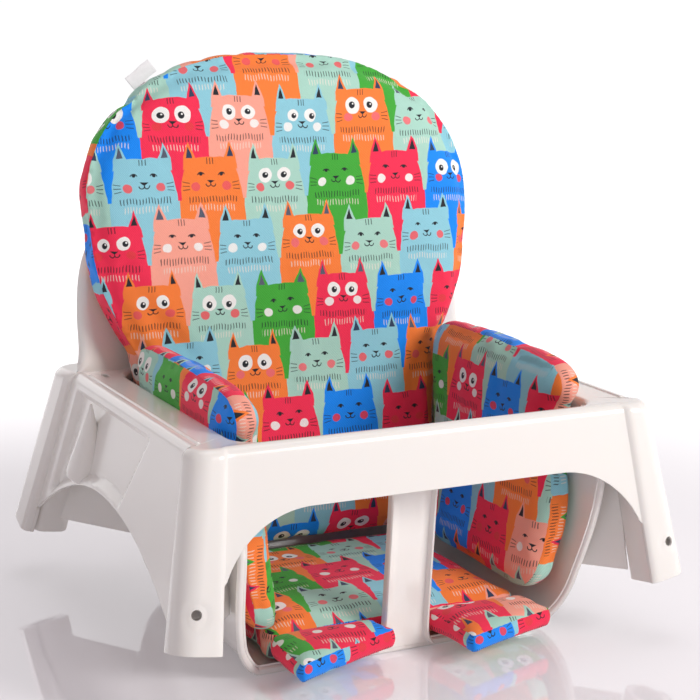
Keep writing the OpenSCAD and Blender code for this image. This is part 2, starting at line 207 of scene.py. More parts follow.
def join(name, objs):
    """One mesh from several objects, in the first one's materials."""
    bm = bmesh.new()
    for o in objs:
        bm.from_mesh(o.data)
    me = bpy.data.meshes.new(name)
    bm.to_mesh(me)
    bm.free()
    for m in objs[0].data.materials:
        me.materials.append(m)
    out = bpy.data.objects.new(name, me)
    bpy.context.scene.collection.objects.link(out)
    for o in objs:
        old = o.data
        bpy.data.objects.remove(o)
        bpy.data.meshes.remove(old)
    return out


def grid_faces(rows, n, close=False):
    """Quads through rows of n points each; close joins the last point of a row to its first."""
    fs = []
    for j in range(rows - 1):
        for i in range(n if close else n - 1):
            k = (i + 1) % n
            fs.append((j * n + i, j * n + k, (j + 1) * n + k, (j + 1) * n + i))
    return fs


def circle(n):
    """Cosine and sine of n even steps round a circle."""
    return [(math.cos(2 * math.pi * i / n), math.sin(2 * math.pi * i / n)) for i in range(n)]


def ring_at(points, z):
    return [(x, y, z) for x, y in points]


def caps(rows, n):
    """The first and the last row of n points as faces."""
    return [tuple(range(n))[::-1], tuple((rows - 1) * n + i for i in range(n))]


def loft(name, rings, mats=(), sharp=32):
    """Closed solid through rings with the same number of points."""
    n = len(rings[0])
    verts = [p for r in rings for p in r]
    faces = grid_faces(len(rings), n, close=True) + caps(len(rings), n)
    return make(name, verts, faces, mats, sharp=sharp)


def prism(poly, fn_lo, fn_hi):
    """Closed solid between two images of a flat outline."""
    n = len(poly)
    verts = [fn_lo(p) for p in poly] + [fn_hi(p) for p in poly]
    return make("cutter", verts, grid_faces(2, n, close=True) + caps(2, n), smooth=False)


def cylinder(foot, direction, radius, lo, hi, n=48):
    """Closed cylinder along a direction, from lo to hi past its foot."""
    d = Vector(direction).normalized()
    u = d.orthogonal().normalized()
    v = d.cross(u)
    rings = [[tuple(Vector(foot) + d * h + (u * a + v * b) * radius) for a, b in circle(n)] for h in (lo, hi)]
    return loft("cutter", rings)


def cut(o, cutters):
    """Takes the cutters out of o with a boolean."""
    for c in cutters:
        mod = o.modifiers.new("cut", "BOOLEAN")
        mod.operation, mod.solver, mod.object = "DIFFERENCE", "MANIFOLD", c
        bake_modifiers(o)
        old = c.data
        bpy.data.objects.remove(c)
        bpy.data.meshes.remove(old)


def thicken(o, wall, offset=-1, even=True):
    """Gives a sheet its wall with a Solidify modifier."""
    sol = o.modifiers.new("wall", "SOLIDIFY")
    sol.thickness, sol.offset, sol.use_even_offset = wall * MM, offset, even


def arc(cx, cy, r, a, b, n):
    return [(cx + r * math.cos(math.radians(a + (b - a) * i / n)),
             cy + r * math.sin(math.radians(a + (b - a) * i / n))) for i in range(n + 1)]


def smooth_table(tab):
    """Monotone cubic through rows of (key, value)."""
    xs = np.array([t[0] for t in tab], float)
    ys = np.array([t[1] for t in tab], float)
    d = np.diff(ys) / np.diff(xs)
    m = np.concatenate([[d[0]], (d[:-1] + d[1:]) / 2, [d[-1]]])
    for i in range(len(d)):
        if d[i] == 0:
            m[i] = m[i + 1] = 0
        else:
            m[i] = np.clip(m[i] / d[i], 0, 3) * d[i] if i else m[i]
            m[i + 1] = np.clip(m[i + 1] / d[i], 0, 3) * d[i]

    def f(x):
        x = min(max(x, xs[0]), xs[-1])
        i = int(min(max(np.searchsorted(xs, x) - 1, 0), len(d) - 1))
        h = xs[i + 1] - xs[i]
        t = (x - xs[i]) / h
        return float(ys[i] * (2 * t ** 3 - 3 * t * t + 1) + ys[i + 1] * (3 * t * t - 2 * t ** 3)
                     + h * (m[i] * (t ** 3 - 2 * t * t + t) + m[i + 1] * (t ** 3 - t * t)))
    return f


def resample(poly, step):
    """Points along a closed polyline at an even spacing."""
    p = np.array(poly, float)
    p = np.vstack([p, p[:1]])
    s = np.concatenate([[0], np.cumsum(np.linalg.norm(np.diff(p, axis=0), axis=1))])
    t = np.linspace(0, s[-1], max(int(round(s[-1] / step)), 8) + 1)
    return np.stack([np.interp(t, s, p[:, k]) for k in range(p.shape[1])], 1)[:-1]


def spline(poly, per=8, closed=True):
    """Catmull-Rom curve through the points."""
    p = [np.array(q, float) for q in poly]
    n = len(p)
    out = []
    for i in range(n if closed else n - 1):
        a, b, c, d = (p[(i - 1) % n], p[i], p[(i + 1) % n], p[(i + 2) % n])
        if not closed:
            a = p[max(i - 1, 0)]
            d = p[min(i + 2, n - 1)]
        for k in range(per):
            t = k / per
            out.append(0.5 * ((2 * b) + (c - a) * t + (2 * a - 5 * b + 4 * c - d) * t * t
                              + (3 * b - a - 3 * c + d) * t ** 3))
    if not closed:
        out.append(p[-1])
    return [tuple(q) for q in out]


# ---------------------------------------------------------------- shell
def drop(z):
    return RIM - z


def front_y(z):
    return -155 - 0.197 * drop(z)


def rear_y(z):
    return 168 + 0.35 * drop(z)


def front_in(z):
    return 170 + 0.109 * drop(z)


def rear_in(z):
    return 163 + 0.13 * drop(z)


def front_out(z):
    return 198.5 + 0.165 * drop(z)


def rear_out(z):
    return 200 + 0.18 * drop(z)


def panel_x(z):
    return 193 + 0.17 * drop(z)


def front_border(z):
    return -137.7 - 0.15 * drop(z)


def rear_border(z):
    return 124 + 0.36 * drop(z)


def side_arch(y):
    """Height of the arch in a side panel."""
    return 119.5 - np.where(y > 22, (y - 22) ** 2 / 428, (y - 22) ** 2 / 600)


# where the right-hand legs come out, which way they run and where their snap buttons point
LEGS = ((Vector((201.8, -163.5, 52)), Vector((0.153, -0.19, -1)).normalized(), Vector((0.29, -0.957, 0))),
        (Vector((204.5, 196, 48)), Vector((0.168, 0.335, -1)).normalized(), Vector((0.38, 0.925, 0))))
SOCKET_R, SOCKET_DEPTH = 12.8, 100
BUTTON_R, BUTTON_H = 3.75, 29
DIMPLE_R, DIMPLE_DEPTH = 12.5, 2.9


def flip(v, s):
    """A vector of the right-hand side, or its mirror image on the left."""
    return Vector((s * v.x, v.y, v.z))


def lin(a, b, n):
    return [(a[0] + (b[0] - a[0]) * i / n, a[1] + (b[1] - a[1]) * i / n) for i in range(n)]


def half_outline(z, e):
    """Right half of the outline at height z, moved in by e; every height has the same number of points."""
    fy, fi, fo, fb = front_y(z), front_in(z), front_out(z), front_border(z)
    ry, ri, ro, rb = rear_y(z), rear_in(z), rear_out(z), rear_border(z)
    px = panel_x(z)
    pts = lin((0, fy + e), (fi - 2, fy + e), 28)
    pts += [(fi - 2, fy + e), (fi - 0.6, fy - 0.15 + e), (fi + 0.8, fy - 1.3 + e),
            (fi + 2.2, fy - 2.3 + e), (fi + 4.4, fy - 2.9 + e)]
    pts += lin((fi + 7, fy - 3 + e), (fo - 17, fy - 3 + e), 5)
    pts += arc(fo - 17, fy + 14, 17 - e, -90, 0, 20)
    pts += [(fo - 0.4 - e, fb - 3), (fo - 0.9 - e, fb - 1.2),
            (px + 2.6 - e, fb - 0.1), (px + 0.3 - e, fb + 0.3)]
    pts += lin((px - e, fb + 1.5), (px - e, rb - 1.5), 90)
    pts += [(px - e, rb - 1.5), (px + 0.3 - e, rb - 0.3),
            (px + 3.0 - e, rb + 0.3), (ro - 2.6 - e, rb + 2.0),
            (ro - 0.6 - e, rb + 5.5)]
    pts += arc(ro - 20, ry - 20, 20 - e, 0, 88, 20)
    pts += lin((ro - 22, ry - e), (ri + 4, ry - e), 3)
    pts += [(ri + 3, ry - 0.2 - e), (ri + 1, ry - 1 - e), (ri - 1, ry - 1.9 - e)]
    pts += lin((ri - 3, ry - 2 - e), (0, ry - 2 - e), 24)
    pts += [(0, ry - 2 - e)]
    return pts


def outline(z, e):
    right = half_outline(z, e)
    return right + [(-x, y) for x, y in right[-2:0:-1]]


def hole_outline(g):
    """Tub opening in the rim, grown by g."""
    return (arc(133 + g, -117 - g, 22, -90, 0, 16) + arc(123 + g, 98 + g, 32, 0, 90, 16)
            + arc(-123 - g, 98 + g, 32, 90, 180, 16) + arc(-133 - g, -117 - g, 22, 180, 270, 16))


def polar_match(ring, target, centre=(0, -4)):
    """The point of target in the direction of each point of ring, seen from centre."""
    t = resample(target, 1.0) - np.array(centre)
    ang = np.arctan2(t[:, 1], t[:, 0])
    order = np.argsort(ang)
    ang, rad = ang[order], np.linalg.norm(t, axis=1)[order]
    ang = np.concatenate([ang - 2 * math.pi, ang, ang + 2 * math.pi])
    rad = np.concatenate([rad] * 3)
    r = np.array(ring, float) - np.array(centre)
    a = np.maximum.accumulate(np.unwrap(np.arctan2(r[:, 1], r[:, 0])))
    n, k = len(a), 4
    wide = np.concatenate([a[-k:] - 2 * math.pi, a, a[:k] + 2 * math.pi])
    a = np.convolve(wide, np.ones(2 * k + 1) / (2 * k + 1), "valid")
    q = np.interp((a + math.pi) % (2 * math.pi) - math.pi, ang, rad)
    return np.stack([centre[0] + q * np.cos(a), centre[1] + q * np.sin(a)], 1)


def button_point(leg):
    """Where the middle of the snap button hole meets the outside of the right-hand column."""
    foot, axis, d = leg
    return foot - axis * BUTTON_H, (d - axis * d.dot(axis)).normalized()


# straight edges (y, z) of the recess in a side panel, and how far in from them it is at full depth
RECESS = [((112, 186), (-66, 186)), ((-66, 186), (-25, 125)), ((142, 100), (112, 186))]
RECESS_LIP = 2.5
RECESS_DRAFT = 7.0
RECESS_DEPTH = 6.0
# rounding of the rim, dish of the armrests and rounding of the edge of the tub opening
RIM_R, DISH, HOLE_R = 7.0, 1.6, 3.2


def side_distance(y, z, a, b):
    """How far the points (y, z) lie to the left of the line from a to b."""
    u, v = b[0] - a[0], b[1] - a[1]
    return (u * (z - a[1]) - v * (y - a[0])) / math.hypot(u, v)


def quarter(steps, first=0):
    """Angles of a quarter turn in even steps."""
    return [math.pi / 2 * k / steps for k in range(first, steps + 1)]


def rim_rings():
    """Rings up the outside of the skirts, over the rim, down into the tub opening and back down inside."""
    zs = [28, 36, 44, 50] + list(np.arange(54, 186, 2.5)) + [RIM - RIM_R - 3]
    rings = [ring_at(outline(z, 0), z) for z in zs]
    for a in quarter(8):
        z = RIM - RIM_R * (1 - math.sin(a))
        rings.append(ring_at(outline(z, RIM_R * (1 - math.cos(a))), z))
    top = np.array(outline(RIM, RIM_R))
    hole = polar_match(top, hole_outline(HOLE_R))
    for t in (0.12, 0.3, 0.5, 0.7, 0.88, 1):
        rings.append(ring_at(top * (1 - t) + hole * t, RIM - DISH * t))
    for a in quarter(6, 1):
        edge = polar_match(top, hole_outline(HOLE_R * (1 - math.sin(a))))
        rings.append(ring_at(edge, RIM - DISH - HOLE_R * (1 - math.cos(a))))
    # the rolled edge of the opening, as (growth, distance below the rim)
    for g, low in ((0, 7), (0, 9.2), (0.6, 9.8), (2.2, 9.8), (2.8, 9.2), (2.8, 6), (4, 5.2)):
        rings.append(ring_at(polar_match(top, hole_outline(g)), RIM - low))
    inner_r = RIM_R - WALL
    for a in quarter(4):
        z = RIM - 5.2 - inner_r * (1 - math.cos(a))
        rings.append(ring_at(outline(z, WALL + inner_r * (1 - math.sin(a))), z))
    return np.array(rings + [ring_at(outline(z, WALL), z) for z in zs[-2::-1]])


def press_recesses(pts):
    """Pushes both skins of the side panels in, with drafted edges."""
    x, y, z = pts[..., 0], pts[..., 1], pts[..., 2]
    inside = np.minimum.reduce([side_distance(y, z, a, b) for a, b in RECESS] + [z - RECESS_LIP - side_arch(y)])
    sunk = np.clip(inside / RECESS_DRAFT, 0, 1) * (np.abs(x) > 185) * (z < RIM - RIM_R)
    pts[..., 0] -= np.sign(x) * RECESS_DEPTH * sunk * sunk * (3 - 2 * sunk)


def press_dimples(pts):
    """Pushes in a shallow dimple round each snap button hole, drawn out downwards."""
    for leg in LEGS:
        p, d = button_point(leg)
        for s in SIDES:
            inward = np.array(flip(d, s))
            along = -np.array(flip(leg[1], s))
            rel = pts - np.array(flip(p, s))
            out = rel @ inward
            up = rel @ along
            side = np.linalg.norm(rel - out[..., None] * inward - up[..., None] * along, axis=-1)
            r = np.sqrt(side ** 2 + (up / np.where(up < 0, 1.5, 1.0)) ** 2)
            w = np.clip(1 - r / DIMPLE_R, 0, 1) * (out > 8)
            pts = pts - (DIMPLE_DEPTH * (w * w * (3 - 2 * w)))[..., None] * inward
    return pts


LOW = 15                                        # below every arch


def arch(inner, top, corner, low, n, middle, steps):
    """Opening between two columns; corner is the (x, z, radius) of its right-hand round corner."""
    cx, cz, r = corner
    right = arc(cx, cz, r, 90, low, n) + [(inner(z), z) for z in np.linspace(top, LOW + 10, steps)]
    right += [(inner(LOW), LOW)]
    return [(-x, z) for x, z in right[::-1]] + middle + right


def arch_cutters():
    low = math.degrees(math.asin(32 / 78)) + 0.5
    front = arch(front_in, 101, (107, 71, 78), low, 28, [(-60, 149), (0, 149), (60, 149)], 8)
    rear = arch(rear_in, 84, (105, 60, 70), 20, 24, [(0, 130)], 7)
    out = [prism(front[::-1], lambda p: (p[0], -240, p[1]), lambda p: (p[0], -120, p[1])),
           prism(rear, lambda p: (p[0], 240, p[1]), lambda p: (p[0], 130, p[1]))]
    side = [(front_border(LOW) + 0.9, LOW), (front_border(62) + 0.9, 62)]
    side += [(y, side_arch(y)) for y in np.linspace(-158, 170, 60)]
    side += [(rear_border(66) - 0.9, 66), (rear_border(LOW) - 0.9, LOW)]
    for s in SIDES:
        out.append(prism(side[::s], lambda p: (s * 150, p[0], p[1]), lambda p: (s * 262, p[0], p[1])))
    return out


def rim_and_skirts(mat):
    pts = rim_rings()
    press_recesses(pts)
    pts = press_dimples(pts)
    n = pts.shape[1]
    faces = grid_faces(len(pts), n, close=True)
    last = (len(pts) - 1) * n
    faces += [(last + i, last + (i + 1) % n, (i + 1) % n, i) for i in range(n)]
    o = make("shell_rim", [tuple(q) for r in pts for q in r], faces, [mat])
    cut(o, arch_cutters() + foot_cutters() + button_cutters() + slot_cutters())
    tidy_normals(o)
    shade(o, 28)
    return o


def foot_cutters():
    """Blocks that take the columns off square to their legs."""
    out = []
    for foot, axis, _ in LEGS:
        for s in SIDES:
            f, a = flip(foot, s), flip(axis, s)
            u = a.orthogonal().normalized() * 70
            v = a.cross(u)
            base = [f + u * i + v * j for i, j in ((-1, -1), (1, -1), (1, 1), (-1, 1))]
            out.append(prism(base, lambda q: tuple(q), lambda q: tuple(q + a * 60)))
    return out


def button_cutters():
    out = []
    for leg in LEGS:
        p, d = button_point(leg)
        out += [cylinder(flip(p, s), flip(d, s), BUTTON_R, 5, 40, 40) for s in SIDES]
    return out


def slot_cutters():
    """Two small slots through the rim beside the backrest."""
    ends = arc(0, 4.5, 2.4, 0, 180, 8) + arc(0, -4.5, 2.4, 180, 360, 8)
    return [prism([(s * 171 + x, 108 + y) for x, y in ends], lambda p: (p[0], p[1], RIM - 20),
                  lambda p: (p[0], p[1], RIM + 10)) for s in SIDES]


half_w = smooth_table([(0, 111), (3, 121), (8, 129), (15, 135), (25, 141), (38, 145), (55, 148), (80, 151),
                       (103, 153), (146, 156), (190, 158)])
rear_w = smooth_table([(0, 98), (3, 106), (8, 112), (15, 117), (25, 121), (38, 125), (55, 128), (80, 131),
                       (103, 133), (146, 136), (190, 139)])
lip_y = smooth_table([(0, -98), (2, -103), (5, -107), (33, -122), (55, -129), (103, -144), (125, -148),
                      (190, -150)])
TUB_Z = [0, 0.6, 1.4, 2.4, 3.6, 5, 7, 9.5, 12.5, 16, 20, 25, 31, 38, 46, 55, 66, 80, 95, 112, 130, 146, 160, 175,
         189.8]


def inner_y(z):
    return -139 + (194 - z) * 0.44 if z > 146 else -117.9 + (146 - z) * 0.079


def tub(mat):
    """The open-fronted tub and the turned lip along its front edge."""
    rings = []
    for z in TUB_Z:
        h, yr, r = half_w(z), rear_w(z), 30 + z * 0.06
        pts = lin((h, lip_y(z)), (h, yr - r), 24) + arc(h - r, yr - r, r, 0, 90, 14)
        rings.append(ring_at(pts + [(-x, y) for x, y in pts[::-1]], z))
    n = len(rings[0])
    faces = grid_faces(len(rings), n) + [tuple(range(n))[::-1]]
    # front of the floor, rising to the lip
    low = [j for j, z in enumerate(TUB_Z) if z <= 5]
    for a, b in zip(low[:-1], low[1:]):
        faces.append((a * n, b * n, b * n + n - 1, a * n + n - 1))
    o = make("shell_tub", [p for r in rings for p in r], faces, [mat])
    if o.data.polygons[0].normal.x < 0:
        o.data.flip_normals()
    thicken(o, WALL)
    bake_modifiers(o)
    shade(o, 30)
    path = [(half_w(z), lip_y(z), z) for z in np.linspace(150, 5, 60)]
    path += [(x, lip_y(5), 5) for x in np.linspace(half_w(5), 0, 14)[1:]]
    return [o, lip_sweep(path + [(-x, y, z) for x, y, z in path[-2::-1]], mat)]


LIP_PROFILE = [(-1.2, 3.2), (-1.5, 1.0), (-1.1, -0.9), (0, -2.0), (1.6, -2.3), (3.2, -2.0), (4.4, -1.0),
               (4.8, 0.6), (4.4, 1.9), (3.0, 2.2), (1.4, 2.4), (0.4, 3.2)]


def lip_sweep(path, mat):
    """Rounded flange on the outside of the tub's front edge."""
    p = np.array(path, float)
    t = np.gradient(p, axis=0)
    t /= np.linalg.norm(t, axis=1)[:, None]
    fwd = np.array([0, -1.0, 0.0])
    rings = []
    for q, d in zip(p, t):
        f = fwd - d * (fwd @ d)
        f /= np.linalg.norm(f)
        out = np.cross(d, f)
        if out[2] > 0 and abs(d[2]) < 0.7 or out[0] * q[0] < 0 and abs(d[2]) >= 0.7:
            out = -out
        rings.append([tuple(q + out * a - f * b) for a, b in LIP_PROFILE])
    return loft("lip", rings, [mat], sharp=50)


def inner_wall(mat):
    """Wall behind the front apron, whose ends turn back into the side walls."""
    half, r = half_w(150) - WALL - 0.6, 20
    zs, xs = np.linspace(190, 150, 10), np.linspace(-half, half, 61)
    verts = []
    for z in zs:
        for x in xs:
            e = max(abs(x) - (half - r), 0)
            verts.append((x, inner_y(z) + (r - math.sqrt(max(r * r - e * e, 0))) * 0.9, z))
    o = make("inner_wall", verts, grid_faces(len(zs), len(xs)), [mat])
    if o.data.polygons[5].normal.y < 0:
        o.data.flip_normals()
    thicken(o, WALL, even=False)
    bake_modifiers(o)
    shade(o, 30)
    return o


# turned edge of the strap, as (x from its side, y from its front)
STRAP_EDGE = [(-3, 0), (-1, 0), (0, -1), (0.2, -4), (0, -7), (-1, -8.2), (-2.4, -8), (-3.2, -6), (-4, -4.2)]


def strap(mat):
    """Strap between the leg openings, flaring a little where it joins the wall above and the lip below."""
    rings = []
    for z in list(np.linspace(156, 148, 5)) + list(np.linspace(144, 20, 26)) + [16, 12, 9, 6.5, 4.5]:
        w = 20 + 7 * math.exp(-(150 - min(z, 150)) / 5.0) + 7 * math.exp(-(max(z, 4) - 4) / 5.0)
        y = inner_y(min(z, 146.01)) + (0.4 if z < 146 else -0.2)
        edge = [(w + a, y + b) for a, b in STRAP_EDGE]
        ring = [(-x, b) for x, b in edge[::-1]] + [(x, y) for x in np.linspace(-w + 6, w - 6, 9)]
        ring += edge + [(x, y - 3.6) for x in np.linspace(w - 7, -w + 7, 9)]
        rings.append(ring_at(ring, z))
    return loft("strap", rings, [mat], sharp=40)


def section(z, front):
    """Closed outline of the right-hand column, a little inside the outer skin where that covers it."""
    g = 0.5
    if front:
        f, i, o, b, q = front_y(z), front_in(z), front_out(z) - g, front_border(z), panel_x(z) - WALL
        return ([(i + 0.6, f + 1.2), (i + 2.0, f - 1.4), (i + 5, f - 2.4)]
                + arc(o - 17, f + 14 + g, 17, -82, 0, 12)
                + [(o - 0.8, b - 3.5), (panel_x(z) + 1.6, b - 0.6), (q, b)]
                + arc(q - 9, f + 27, 9, 0, 90, 6) + arc(i + 9, f + 27, 9, 90, 180, 6))
    r, i, o, b, q = rear_y(z), rear_in(z), rear_out(z) - g, rear_border(z), panel_x(z) - WALL
    return (arc(i + 9, r - 34, 9, 180, 270, 6) + arc(q - 9, r - 34, 9, 270, 360, 6)
            + [(q, b), (panel_x(z) + 1.6, b + 0.8), (o - 1, b + 5)] + arc(o - 20, r - 20 - g, 20, 0, 84, 12)
            + [(i + 3, r - 1), (i + 0.6, r - 4)])


def centre(o):
    return sum((v.co for v in o.data.vertices), Vector()) / len(o.data.vertices)


def columns(mat):
    """Hollow leg columns, each cut off square to its leg and with its button hole."""
    out = []
    for leg, front in zip(LEGS, (True, False)):
        for s in SIDES:
            rings = [ring_at([(s * x, y) for x, y in section(z, front)][::s], z)
                     for z in np.linspace(24, RIM - 9, 24)]
            o = loft("column", rings, [mat], sharp=35)
            cut(o, [cylinder(flip(leg[0], s), flip(leg[1], s), SOCKET_R, -SOCKET_DEPTH, 40, 64)])
            out.append(o)
    for c in foot_cutters() + button_cutters():
        mid = centre(c)
        cut(min(out, key=lambda o: (centre(o) - mid).length), [c])
    for o in out:
        tidy_normals(o)
        shade(o, 30)
    return out


def plate(low, high, mat, rows=8, cols=10):
    """Thin ruled wall between a low edge and a high edge, each given by two points."""
    verts = []
    for j in range(rows + 1):
        t = j / rows
        a = np.array(low[0]) * (1 - t) + np.array(high[0]) * t
        b = np.array(low[1]) * (1 - t) + np.array(high[1]) * t
        verts += [tuple(a + (b - a) * i / cols) for i in range(cols + 1)]
    o = make("gusset", verts, grid_faces(rows + 1, cols + 1), [mat])
    thicken(o, WALL, 0, even=False)
    bev = o.modifiers.new("edge", "BEVEL")
    bev.width, bev.segments, bev.limit_method = 0.8 * MM, 2, "ANGLE"
    bake_modifiers(o)
    shade(o, 30)
    return o


CONE_FOOT, CONE_TIP = np.array([196.0, 86, 119]), np.array([199.0, 62, 184])
# radius taken off near the foot, by place along the cone
CONE_STEPS = {0.0: 1.4, 0.02: 0.4, 0.05: 0, 0.2: 0, 0.4: 0, 0.6: 0, 0.8: 0, 0.92: 0, 0.985: 0}


def cone(s, mat):
    """Half cone on a side panel, with a dished foot."""
    d = (CONE_TIP - CONE_FOOT) / np.linalg.norm(CONE_TIP - CONE_FOOT)
    u = np.cross(d, [1, 0, 0.17])
    u /= np.linalg.norm(u)
    v = np.cross(u, d)
    rows = [(CONE_FOOT + d * 3.0, 9, 8)]
    for t, less in CONE_STEPS.items():
        r = 18.5 * (1 - t) + 0.8 - less
        rows.append((CONE_FOOT + (CONE_TIP - CONE_FOOT) * t, r, r * 0.92))
    rings = [[p + u * a * c + v * b * e for c, e in circle(64)][::s] for p, a, b in rows]
    return loft("cone", [[(s * q[0], q[1], q[2]) for q in r] for r in rings], [mat], sharp=50)


def gussets(mat):
    """Walls from the columns to the tub, and the cone on each side."""
    out = []
    for s in SIDES:
        out.append(plate([(s * 187, -148.5, 54), (s * 149.5, -108.5, 54)],
                         [(s * 175, -130.5, 186), (s * 158.5, -112, 186)], mat))
        out.append(plate([(s * 196, 182, 54), (s * 147, 107, 54)],
                         [(s * 171, 146, 186), (s * 155, 119, 186)], mat))
        out.append(cone(s, mat))
    return out


# height share and half width of the moulded backrest
BACK_TAB = [(0, 194), (0.02, 191), (0.06, 187), (0.14, 185), (0.3, 184.5), (0.48, 181), (0.62, 173), (0.75, 158),
            (0.85, 138), (0.92, 114), (0.97, 80), (1, 34)]
# size share of each ring of it and how far that ring curls back
BACK_CURL = [(1, 7.0), (0.994, 4.6), (0.985, 2.4), (0.972, 0.9), (0.955, 0.2)]
BACK_CURL += [(k, 0) for k in (0.93, 0.88, 0.78, 0.65, 0.5, 0.35, 0.2, 0.08)]


def backrest_y(x, z):
    return 140 + 0.18 * (z - RIM) - 14 * (x / 185) ** 2


def backrest(mat):
    low = RIM - 4
    right = [(w, low + (TOP - 1 - low) * t) for t, w in BACK_TAB]
    edge = spline(right + [(0, TOP)] + [(-x, z) for x, z in right[::-1]], 8, closed=False)
    ring = resample(edge + [(x, low) for x in np.linspace(-194, 194, 60)[1:-1]], 5.0)
    c = np.array([0, 268.0])
    verts = []
    for share, curl in BACK_CURL:
        for p in ring:
            x, z = c + (p - c) * share
            verts.append((x, backrest_y(x, z) + (curl if p[1] > low + 8 else 0), z))
    n, rows = len(ring), len(BACK_CURL)
    o = make("shell_backrest", verts, grid_faces(rows, n, close=True) + caps(rows, n)[1:], [mat])
    if o.data.polygons[len(o.data.polygons) // 2].normal.y > 0:
        o.data.flip_normals()
    thicken(o, 3.2)
    bake_modifiers(o)
    shade(o, 40)
    return o


def rails(mat):
    """Raised bead along each armrest, with rounded ends."""
    front, rear = -134, 112
    ys = [front, -133.6, -132.6, -131] + list(np.linspace(-125, 105, 14)) + [110, 111.4, rear]
    out = []
    for s in SIDES:
        rings = []
        for y in ys:
            e = min(y - front, rear - y, 2.2)
            r = 2.0 * min(1, math.sqrt(max(1 - (1 - e / 2.2) ** 2, 0.02)))
            rings.append([(s * 183.4 + r * a, y, RIM - 1.0 + r * b) for a, b in circle(20)])
        out.append(loft("rail", rings, [mat], sharp=60))
    return out


def plastic():
    """Glossy plastic with a faint mottle and softened edges."""
    mat, nt, p = new_material("shell_plastic")
    give(p, {"Base Color": (0.885, 0.857, 0.82, 1), "IOR": 1.49, "Coat Weight": 0.25, "Coat Roughness": 0.08,
             "Subsurface Weight": 0.12, "Subsurface Radius": (0.006, 0.005, 0.004)})
    place = new_node(nt, "TexCoord")
    noise = new_node(nt, "TexNoise", {"Scale": 55, "Detail": 3})
    rough = new_node(nt, "MapRange", {"To Min": 0.15, "To Max": 0.26})
    edges = new_node(nt, "Bevel", {"Radius": 0.0009}, samples=4)
    bump = new_node(nt, "Bump", {"Strength": 0.025, "Distance": 0.002})
    nt.links.new(place.outputs["Object"], noise.inputs["Vector"])
    nt.links.new(noise.outputs["Fac"], rough.inputs["Value"])
    nt.links.new(rough.outputs["Result"], p.inputs["Roughness"])
    nt.links.new(noise.outputs["Fac"], bump.inputs["Height"])
    nt.links.new(edges.outputs["Normal"], bump.inputs["Normal"])
    nt.links.new(bump.outputs["Normal"], p.inputs["Normal"])
    return mat


def build_shell():
    mat = plastic()
    parts = [rim_and_skirts(mat)] + tub(mat) + [inner_wall(mat), strap(mat)] + columns(mat) + gussets(mat)
    shell = join("seat_shell", parts + [backrest(mat)] + rails(mat))
    shade(shell, 28)
    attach(shell, "shell")
    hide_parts(*SHELL_NODES)


# ---------------------------------------------------------------- print: rows of simple cats
class V:
    """A value in a shader graph; arithmetic on it adds Math nodes."""
    nt = None

    def __init__(self, s):
        self.s = s

    @staticmethod
    def op(kind, *args, clamp=False):
        n = V.nt.nodes.new("ShaderNodeMath")
        n.operation, n.use_clamp = kind, clamp
        for i, a in enumerate(args):
            if isinstance(a, V):
                V.nt.links.new(a.s, n.inputs[i])
            else:
                n.inputs[i].default_value = float(a)
        return V(n.outputs[0])

    def __add__(self, o):
        return V.op("ADD", self, o)
    __radd__ = __add__

    def __sub__(self, o):
        return V.op("SUBTRACT", self, o)

    def __rsub__(self, o):
        return V.op("SUBTRACT", o, self)

    def __mul__(self, o):
        return V.op("MULTIPLY", self, o)
    __rmul__ = __mul__

    def __truediv__(self, o):
        return V.op("DIVIDE", self, o)

    def __gt__(self, o):
        return V.op("GREATER_THAN", self, o)

    def __pow__(self, o):
        return V.op("POWER", self, o)

    def abs(self):
        return V.op("ABSOLUTE", self)

    def floor(self):
        return V.op("FLOOR", self)

    def mod(self, m):
        return V.op("FLOORED_MODULO", self, m)

    def soft(self, width):
        """1 where positive, 0 where negative, with a narrow ramp."""
        return V.op("MULTIPLY_ADD", self, 1.0 / width, 0.5, clamp=True)


def least(*a):
    out = a[0]
    for b in a[1:]:
        out = V.op("MINIMUM", out, b)
    return out


def most(*a):
    out = a[0]
    for b in a[1:]:
        out = V.op("MAXIMUM", out, b)
    return out


def length(x, y):
    return V.op("SQRT", x * x + y * y)


def paint(under, color, mask):
    """Colour laid over another by a mask; both may be sockets or plain colours."""
    m = V.nt.nodes.new("ShaderNodeMix")
    m.data_type = "RGBA"
    V.nt.links.new(mask.s, m.inputs[0])
    for sock, c in ((m.inputs[6], under), (m.inputs[7], color)):
        if isinstance(c, tuple):
            sock.default_value = c + (1,)
        else:
            V.nt.links.new(c, sock)
    return m.outputs[2]


def srgb(r, g, b):
    return tuple(((c / 255 + 0.055) / 1.055) ** 2.4 if c > 10 else c / 3295 for c in (r, g, b))


RED, BLUE = srgb(250, 44, 84), srgb(0, 142, 255)
ORANGE, SKY, MINT = srgb(255, 132, 56), srgb(146, 210, 226), srgb(174, 220, 204)
GREEN, SALMON, INK = srgb(64, 172, 54), srgb(255, 170, 150), srgb(22, 26, 34)
WHITE = srgb(250, 250, 246)
BODY = [BLUE, ORANGE, MINT, RED, MINT, GREEN, SALMON, SKY, RED, SKY, ORANGE]
EAR = [INK, srgb(86, 92, 110), INK, srgb(40, 60, 90)]
CHEEK = [srgb(236, 60, 70), WHITE, srgb(240, 90, 96), srgb(245, 112, 120), WHITE]
PITCH, ROW = 58.0, 52.0                         # of the cats along a row, and of the rows


def ramp(value, colors):
    r = V.nt.nodes.new("ShaderNodeValToRGB")
    r.color_ramp.interpolation = "CONSTANT"
    el = r.color_ramp.elements
    while len(el) < len(colors):
        el.new(0.5)
    for i, c in enumerate(colors):
        el[i].position = i / len(colors)
        el[i].color = c + (1,)
    V.nt.links.new(value.s, r.inputs[0])
    return r.outputs[0]


